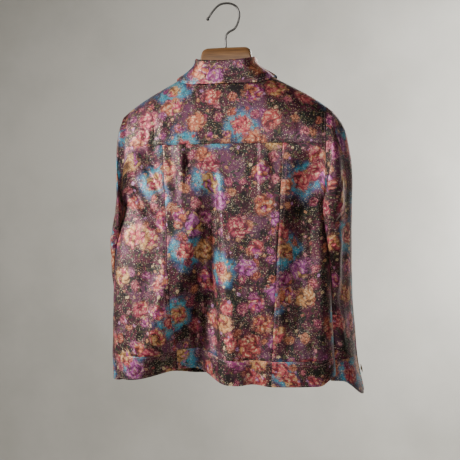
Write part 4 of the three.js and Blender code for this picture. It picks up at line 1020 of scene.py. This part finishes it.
make_sleeve("left", 4.3)
make_sleeve("right", 5.2)
make_cuff("left", 4.4)
make_cuff("right", 5.4)

# ---------------------------------------------------------------- collar

COLLAR = table(
    "at foldX foldY foldZ edgeX edgeZ clear",
    (0, 0, 51, -130, 0, -174, 3),
    (0.2, 39, 47, -127, 58, -172, 3.2),
    (0.35, 55, 31, -121, 89, -164, 5),
    (0.43, 59, 17, -117, 98, -156, 6),
    (0.5, 60, 2, -116, 103, -151, 4),
    (0.57, 59, -13, -119, 103, -159, 7),
    (0.65, 56, -27, -127, 101, -179, 6),
    (0.8, 43, -43, -158, 86, -222, 6),
    (0.926, 21, -51, -184, 52, -262, 6),
)
COLLAR_ROLL = 2.4
COLLAR_END = 0.926
COLLAR_COLUMNS, STAND_ROWS, ROLL_ROWS, FALL_ROWS = 151, 12, 9, 19


def neckline(at):
    face = np.where(np.abs(at) <= 0.5, 1, -1)
    x = NECK_HALF * np.sin(np.pi * at)

    def point(drop):
        back = body_point(1, x / TIP_HALF, top_height(1, x) - drop, fine=False)
        front = body_point(-1, x / TIP_HALF, top_height(-1, x) - drop, fine=False)
        return np.where((face > 0)[:, None], back, front)

    here = point(0.0)
    along = np.gradient(here, axis=0)
    normal = unit(np.cross(along, unit(here - point(3.0))))
    outward = here * [1, 1, 0]
    normal *= np.sign((normal * outward).sum(axis=-1, keepdims=True))
    up = unit(np.cross(normal, along))
    up *= np.sign(up[:, 2:3])
    return here, normal, up


def collar_fold(at):
    x, y, z = reads(COLLAR, np.abs(at), "foldX foldY foldZ")
    return np.stack([np.sign(at) * x, y, z], axis=-1)


def bezier(a, b, c, d, t):
    t = t[:, None, None]
    return (1 - t) ** 3 * a + 3 * t * (1 - t) ** 2 * b + 3 * t * t * (1 - t) * c + t**3 * d


def make_collar():
    at = np.linspace(-COLLAR_END, COLLAR_END, COLLAR_COLUMNS)
    here, normal, up = neckline(at)
    base = here - normal + 0.6 * up
    fold = collar_fold(at)
    run = collar_fold(at + 0.02) - collar_fold(at - 0.02)
    outward = unit(np.stack([-run[:, 1], run[:, 0], 0 * at], axis=-1))
    fold_in, fold_out = fold - outward * COLLAR_ROLL, fold + outward * COLLAR_ROLL
    edge_x, edge_z, clear = reads(COLLAR, np.abs(at), "edgeX edgeZ clear")
    edge_x = np.sign(at) * edge_x
    low = np.minimum(edge_z, ridge_height(edge_x))
    face = np.where(np.abs(at) <= 0.5, 1, -1)
    back = body_point(1, edge_x / TIP_HALF, low, fine=False)[:, 1]
    front = body_point(-1, edge_x / TIP_HALF, low, fine=False)[:, 1]
    ground = np.where(face > 0, back, front)
    on_shoulder = clamp01(np.abs(np.abs(at) - 0.5) / 0.1)
    edge = np.stack([edge_x, ground + face * clear * on_shoulder, edge_z], axis=-1)
    down = np.array([0, 0, -1.0])
    reach = np.linalg.norm(fold_out - edge, axis=-1, keepdims=True)
    rising = np.linspace(0, 1, STAND_ROWS + 1)[:-1]
    stand = bezier(base, base + 8 * up, fold_in + 10 * down, fold_in, rising)
    falling = np.linspace(0, 1, FALL_ROWS + 1)[1:]
    fall = bezier(fold_out, fold_out + down * reach * 0.3, lerp(edge, fold_out, 0.35), edge, falling)
    turns = np.linspace(0, math.pi, ROLL_ROWS)[:, None, None]
    roll = fold - outward * COLLAR_ROLL * np.cos(turns) + down * -COLLAR_ROLL * np.sin(turns)
    middle = np.concatenate([stand, roll, fall])
    # The fall waves a little, more towards its edge.
    share = clamp01((np.arange(len(middle)) - STAND_ROWS - ROLL_ROWS) / (FALL_ROWS - 1))[:, None]
    wave = 0.5 * np.sin(at * 13 + 0.6) + 0.3 * np.sin(at * 23 + 2.0)
    middle = middle + (share * wave)[..., None] * outward
    normals = grid_normals(middle)
    if float((normals[-8:] * outward).sum()) < 0:
        normals = -normals
    outer = middle + normals
    shell("collar", outer, normals, COLLAR_THICK, metric(outer) + (6.1, 0.2))


make_collar()

# ---------------------------------------------------------------- stitching


def stitches(name, lines, pitch=3.4, length=2.5, thick=0.34):
    """Short raised threads along lines of points and normals, all in one piece."""
    vertices, faces = [], []
    for points, normals in lines:
        places = np.concatenate([[0], np.cumsum(spans(points, 0))])
        count = int((places[-1] - length) / pitch)
        for i in range(max(count, 0)):
            ends = []
            for place in (i * pitch + 0.5, i * pitch + 0.5 + length / 2, i * pitch + 0.5 + length):
                ends.append([np.interp(place, places, points[:, k]) for k in range(3)])
            a, middle, b = (np.array(p) for p in ends)
            at = i * pitch + length / 2
            normal = np.array([np.interp(at, places, normals[:, k]) for k in range(3)])
            normal /= np.linalg.norm(normal)
            side = np.cross(b - a, normal)
            side /= np.linalg.norm(side)
            start = len(vertices)
            for centre, scale in ((a, 0.35), (middle, 1.0), (b, 0.35)):
                high = centre + normal * (0.1 + 0.16 * scale)
                for out, rise in ((thick, 0), (0, thick * 0.7), (-thick, 0), (0, -thick)):
                    vertices.append((high + side * out * scale + normal * rise * scale) * MM)
            for ring in (0, 4):
                for k in range(4):
                    a0, a1 = start + ring + k, start + ring + (k + 1) % 4
                    faces.append((a0, a1, a1 + 4, a0 + 4))
            faces.append((start + 3, start + 2, start + 1, start))
            faces.append((start + 8, start + 9, start + 10, start + 11))
    piece = make_mesh(name, vertices, faces, THREAD)
    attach(piece, "root")


def body_line(face, x, z, raised=0.0):
    x, z = np.broadcast_arrays(np.asarray(x, float), np.asarray(z, float))
    share = share_at(x, z)
    here = body_point(face, share, z, raised=raised)
    right = body_point(face, share + 0.004, z, raised=raised)
    above = body_point(face, share, z + 1.0, raised=raised)
    normal = unit(np.cross(right - here, above - here))
    normal *= np.sign(normal[:, 1:2] * face)
    return here, normal


def armhole_line(face, side, inset, count=60):
    z = np.linspace(UNDERARM_Z + 9, TIP_Z - 14, count)
    half, middle = reads(BODY, z, "half middle")
    return body_line(face, middle + side * (half - inset), z)


def offset_lines(face, side, gaps):
    z = np.linspace(BAND_Z + 2, YOKE_Z - 2, 160)
    return [body_line(face, side * (back_seam_x(z) + gap), z) for gap in gaps]


wide = np.linspace(-198, 198, 200)
body_lines = [body_line(1, wide, YOKE_Z + gap) for gap in (2.6, 8.8)]
for side in (1, -1):
    body_lines += offset_lines(1, side, (2.4, 8.6))
    body_lines += [armhole_line(face, side, inset) for face in (1, -1) for inset in (3.0, 9.2)]
stitches("stitches_back_and_armholes", body_lines)


def round_line(face, z, low, high):
    u = np.linspace(low, high, 220)
    middle, half = reads(BODY, z, "middle half")
    return body_line(face, middle + half * share_of(u), np.full_like(u, z))


band_lines = []
for face, low, high in ((1, -0.97, 0.97), (-1, 0.12, 0.97), (-1, -0.97, -0.16)):
    band_lines += [round_line(face, z, low, high) for z in (BAND_Z - 2.6, BAND_Z - 8.8, HEM_Z + 3.0)]
stitches("stitches_waistband", band_lines)

down = np.linspace(BAND_Z + 2, -222, 170)
placket_edge = PLACKET_HALF - 2.6
placket_lines = [body_line(-1, np.full_like(down, x), down, LAYER) for x in (-placket_edge, placket_edge)]
stitches("stitches_placket", placket_lines)


def sleeve_line(side, rows, turns):
    rows, turns = np.broadcast_arrays(np.asarray(rows, float), np.asarray(turns, float))
    here = sleeve_point(side, rows, turns)
    along = sleeve_point(side, rows, turns + 0.004) - here
    below = sleeve_point(side, rows + 0.02, turns) - here
    normal = unit(np.cross(along, below))
    axis = sum(sleeve_point(side, rows, np.full_like(rows, t)) for t in (0.0, 0.25, 0.5, 0.75)) / 4
    normal *= np.sign(((here - axis) * normal).sum(axis=-1, keepdims=True))
    if side == "right":
        here, normal = here * [-1, 1, 1], normal * [-1, 1, 1]
    return here, normal


for side in ("left", "right"):
    rows = np.linspace(0.4, 10.5, 150)
    lines = [sleeve_line(side, rows, SEAM_BACK - gap) for gap in (0.011, 0.036)]
    around = np.linspace(SEAM_BACK + 0.04, SEAM_BACK + 0.96, 120)
    lines += [sleeve_line(side, np.full_like(around, row), around) for row in (12.12, 12.34, 13.86)]
    stitches(f"stitches_sleeve_{side}", lines)


def collar_line(rows_from_edge):
    outer = bpy.data.objects["cloth_collar"].data
    grid = (2, STAND_ROWS + ROLL_ROWS + FALL_ROWS, COLLAR_COLUMNS, 3)
    coords = np.array([v.co for v in outer.vertices]).reshape(grid)[0] / MM
    normals = np.array([v.normal for v in outer.vertices]).reshape(grid)[0]
    index = len(coords) - 1 - rows_from_edge
    return coords[index, 4:-4], normals[index, 4:-4]


stitches("stitches_collar", [collar_line(2)])

# ---------------------------------------------------------------- buttons


def lathe(name, profile, sides, material):
    angles = np.linspace(0, 2 * np.pi, sides, endpoint=False)
    vertices = [(r * math.cos(a) * MM, r * math.sin(a) * MM, z * MM) for r, z in profile for a in angles]
    piece = make_mesh(name, vertices, ring_faces(len(profile), sides), material)
    piece.data.set_sharp_from_angle(angle=math.radians(40))
    return piece


BUTTON_PROFILE = [
    (3.4, 0.0), (3.4, 1.2), (7.6, 1.2), (8.3, 1.6), (8.5, 2.1), (8.3, 2.6), (7.7, 2.9), (7.0, 2.75),
    (6.7, 2.5), (6.3, 2.5), (5.9, 2.9), (4.8, 3.3), (3.2, 3.5), (1.6, 3.6), (0.3, 3.62),
]


def place_button(name):
    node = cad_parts[name]
    corners = np.array([v.co for v in node.data.vertices])
    centre = corners.mean(axis=0)
    spread = corners - centre
    _, _, axes = np.linalg.svd(spread, full_matrices=False)
    axis = Vector(axes[2])
    outward = Vector((centre[0] * 0.6, -1 if centre[1] < 0 else 1, 0))
    if abs(centre[0]) > 0.15:
        outward = Vector((1 if centre[0] > 0 else -1, -0.6, 0))
    if axis.dot(outward) < 0:
        axis.negate()
    low = min(Vector(p).dot(axis) for p in corners)
    start = Vector(centre) + axis * (low - Vector(centre).dot(axis))
    piece = lathe(f"metal_{name}", BUTTON_PROFILE, 28, BRASS)
    piece.location = start
    piece.rotation_mode = "QUATERNION"
    piece.rotation_quaternion = axis.to_track_quat("Z", "Y")
    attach(piece, "root")
    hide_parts(name)


for name in sorted(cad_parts):
    if name.startswith("button_"):
        place_button(name)

# ---------------------------------------------------------------- hanger

WOOD_BELOW = 3.3 * math.hypot(1, SHOULDER_SLOPE)
WOOD_ROWS = table(
    "x top thick deep",
    (0, -88.5, 13, 40), (38, -89, 13, 42), (45, -91, 13, 42), (49.5, -95, 13, 41), (52, -104, 13, 36),
    (56, -126, 12.5, 28), (64, -143, 12, 22), (74, -151, 11, 20),
    *[(x, float(ridge_height(x)) - WOOD_BELOW, thick, deep)
      for x, thick, deep in ((88, 11.5, 24), (110, 12.5, 27), (150, 16, 27), (176, 18, 24), (187, 16, 18))],
)


def make_wood():
    x = np.concatenate([np.linspace(0, 36, 10)[:-1], np.linspace(36, 60, 26)[:-1], np.linspace(60, 186.6, 60)])
    x = np.concatenate([-x[::-1], x[1:]])
    out = np.abs(x)
    top, thick, deep = reads(WOOD_ROWS, out, "top thick deep")
    shoulder = np.where(out < 60, deep, np.minimum(deep, thick * 1.3))
    t = np.linspace(0, 2 * np.pi, 36, endpoint=False)
    y = signed_power(np.sin(t), 0.8)
    low = (1 - signed_power(np.cos(t), 0.85)) / 2
    drop = np.where(low[None, :] < 0.5, low[None, :] * 1.2 * shoulder[:, None],
                    lerp(0.6 * shoulder[:, None], deep[:, None], (low[None, :] - 0.5) * 2))
    px = np.broadcast_to(x[:, None], drop.shape)
    points = np.stack([px, y[None, :] * thick[:, None] * 0.99, top[:, None] - 0.3 - drop * 0.985], axis=-1)
    piece = make_mesh("wood_hanger", points.reshape(-1, 3) * MM, ring_faces(*points.shape[:2]), WOOD)
    piece.data.set_sharp_from_angle(angle=math.radians(45))
    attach(piece, "root")
    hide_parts("hanger_wood")


make_wood()

WIRE_RADIUS, TIP_RADIUS = 2.2, 3.6
HOOK = [(1, -88.1), (0.5, -64), (-4.6, -57.4), (-17.4, -50), (-24.8, -35), (-26.7, -21.7), (-21.5, -7),
        (-10.5, 0.4), (0, 2.2), (11.5, 1), (19.8, -4), (26.6, -11), (32.2, -18.2), (36.6, -25)]


def centripetal(points, steps):
    """A smooth line through the points."""
    points = np.array(points, float)
    points = np.concatenate([[2 * points[0] - points[1]], points, [2 * points[-1] - points[-2]]])
    out = []
    for p0, p1, p2, p3 in zip(points, points[1:], points[2:], points[3:]):
        t0 = 0.0
        t1 = t0 + np.linalg.norm(p1 - p0) ** 0.5
        t2 = t1 + np.linalg.norm(p2 - p1) ** 0.5
        t3 = t2 + np.linalg.norm(p3 - p2) ** 0.5
        for t in np.linspace(t1, t2, steps, endpoint=False):
            a1 = (t1 - t) / (t1 - t0) * p0 + (t - t0) / (t1 - t0) * p1
            a2 = (t2 - t) / (t2 - t1) * p1 + (t - t1) / (t2 - t1) * p2
            a3 = (t3 - t) / (t3 - t2) * p2 + (t - t2) / (t3 - t2) * p3
            b1 = (t2 - t) / (t2 - t0) * a1 + (t - t0) / (t2 - t0) * a2
            b2 = (t3 - t) / (t3 - t1) * a2 + (t - t1) / (t3 - t1) * a3
            out.append((t2 - t) / (t2 - t1) * b1 + (t - t1) / (t2 - t1) * b2)
    out.append(points[-2])
    return np.array(out)


def make_hook():
    line = centripetal(HOOK, 9)
    path = np.stack([line[:, 0], 0 * line[:, 0], line[:, 1]], axis=-1)
    along = unit(np.gradient(path, axis=0))
    side = np.broadcast_to([0, 1.0, 0], path.shape)
    other = np.cross(along, side)
    angles = np.linspace(0, 2 * np.pi, 16, endpoint=False)[None, :, None]
    ring = np.cos(angles) * side[:, None] + np.sin(angles) * other[:, None]
    rings = path[:, None] + WIRE_RADIUS * ring
    wire = make_mesh("steel_hook", rings.reshape(-1, 3) * MM, ring_faces(*rings.shape[:2]), STEEL)
    wire.data.set_sharp_from_angle(angle=math.radians(45))
    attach(wire, "root")
    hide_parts("hanger_hook")
    arcs = [(TIP_RADIUS * math.cos(a), TIP_RADIUS * math.sin(a)) for a in np.linspace(-1.4, 1.4, 15)]
    profile = [(0.05, -TIP_RADIUS), *arcs, (0.05, TIP_RADIUS)]
    ball = lathe("steel_hook_tip", profile, 24, STEEL)
    ball.location = Vector(path[-1] + along[-1] * 3.9) * MM
    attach(ball, "root")
    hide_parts("hanger_hook_tip")


make_hook()

# ---------------------------------------------------------------- the cloth pieces' areas, held between 0.31 and 1 times width by length, and not kept

for piece, width, length, area in SHEETS:
    area = min(max(area, 0.31 * width * length), width * length)

# ---------------------------------------------------------------- camera, light and room


def look(thing, location, target):
    thing.location = location
    thing.rotation_mode = "QUATERNION"
    thing.rotation_quaternion = (Vector(target) - Vector(location)).to_track_quat("-Z", "Y")


LENS, SENSOR, SHIFT = 53.5, 36, 0.0076
AZIMUTH, DISTANCE, TARGET = math.radians(171), 1.4, Vector((0, 0, -0.462))
JACKET = (0, 0, -0.45)

camera = bpy.data.objects.new("camera", bpy.data.cameras.new("camera"))
camera.data.lens = LENS
camera.data.sensor_width = SENSOR
camera.data.shift_x = SHIFT
look(camera, TARGET + DISTANCE * Vector((-math.sin(AZIMUTH), -math.cos(AZIMUTH), 0)), TARGET)
bpy.context.scene.collection.objects.link(camera)
bpy.context.scene.camera = camera


def area_light(name, location, aim, size, power, colour):
    data = bpy.data.lights.new(name, "AREA")
    data.shape = "RECTANGLE"
    data.size, data.size_y = size
    data.energy = power
    data.color = colour
    lamp = bpy.data.objects.new(name, data)
    bpy.context.scene.collection.objects.link(lamp)
    look(lamp, location, aim)


area_light("key", (2.2, 1.15, 0.3), JACKET, (0.6, 0.6), 132, (1.0, 0.98, 0.95))
area_light("fill", (-0.6, 2.6, 0.3), JACKET, (0.6, 0.6), 42, (1.0, 1.0, 0.98))
area_light("front", (-0.9, -2.4, 0.7), JACKET, (1.4, 1.4), 42, (1.0, 0.97, 0.93))
area_light("wall_wash", (-2.4, -1.8, 0.1), (-1.5, -3.2, -0.4), (0.9, 1.8), 210, (1.0, 1.0, 0.98))

world = bpy.data.worlds.new("room")
world.use_nodes = True
world.node_tree.nodes["Background"].inputs[0].default_value = (0.5, 0.49, 0.47, 1)
world.node_tree.nodes["Background"].inputs[1].default_value = 0.05
bpy.context.scene.world = world

PLASTER = plaster_material()
RIGHT, LEFT, WALL, BEHIND, FLOOR, CEILING, FLOOR_REACH = -9, 4.5, -3.2, 4.2, -2.6, 4, 12


def plane(name, corners):
    piece = make_mesh(name, corners, [(0, 1, 2, 3)], PLASTER, smooth=False)


def wall(name, a, b):
    """A wall over the floor's line from a to b."""
    plane(name, [(*a, FLOOR), (*b, FLOOR), (*b, CEILING), (*a, CEILING)])


wall("wall", (RIGHT, WALL), (LEFT, WALL))
wall("wall_behind", (LEFT, BEHIND), (RIGHT, BEHIND))
wall("wall_left", (LEFT, WALL), (LEFT, BEHIND))
wall("wall_right", (RIGHT, BEHIND), (RIGHT, WALL))
plane("floor", [(x * FLOOR_REACH, y * FLOOR_REACH, FLOOR) for x, y in ((-1, -1), (1, -1), (1, 1), (-1, 1))])
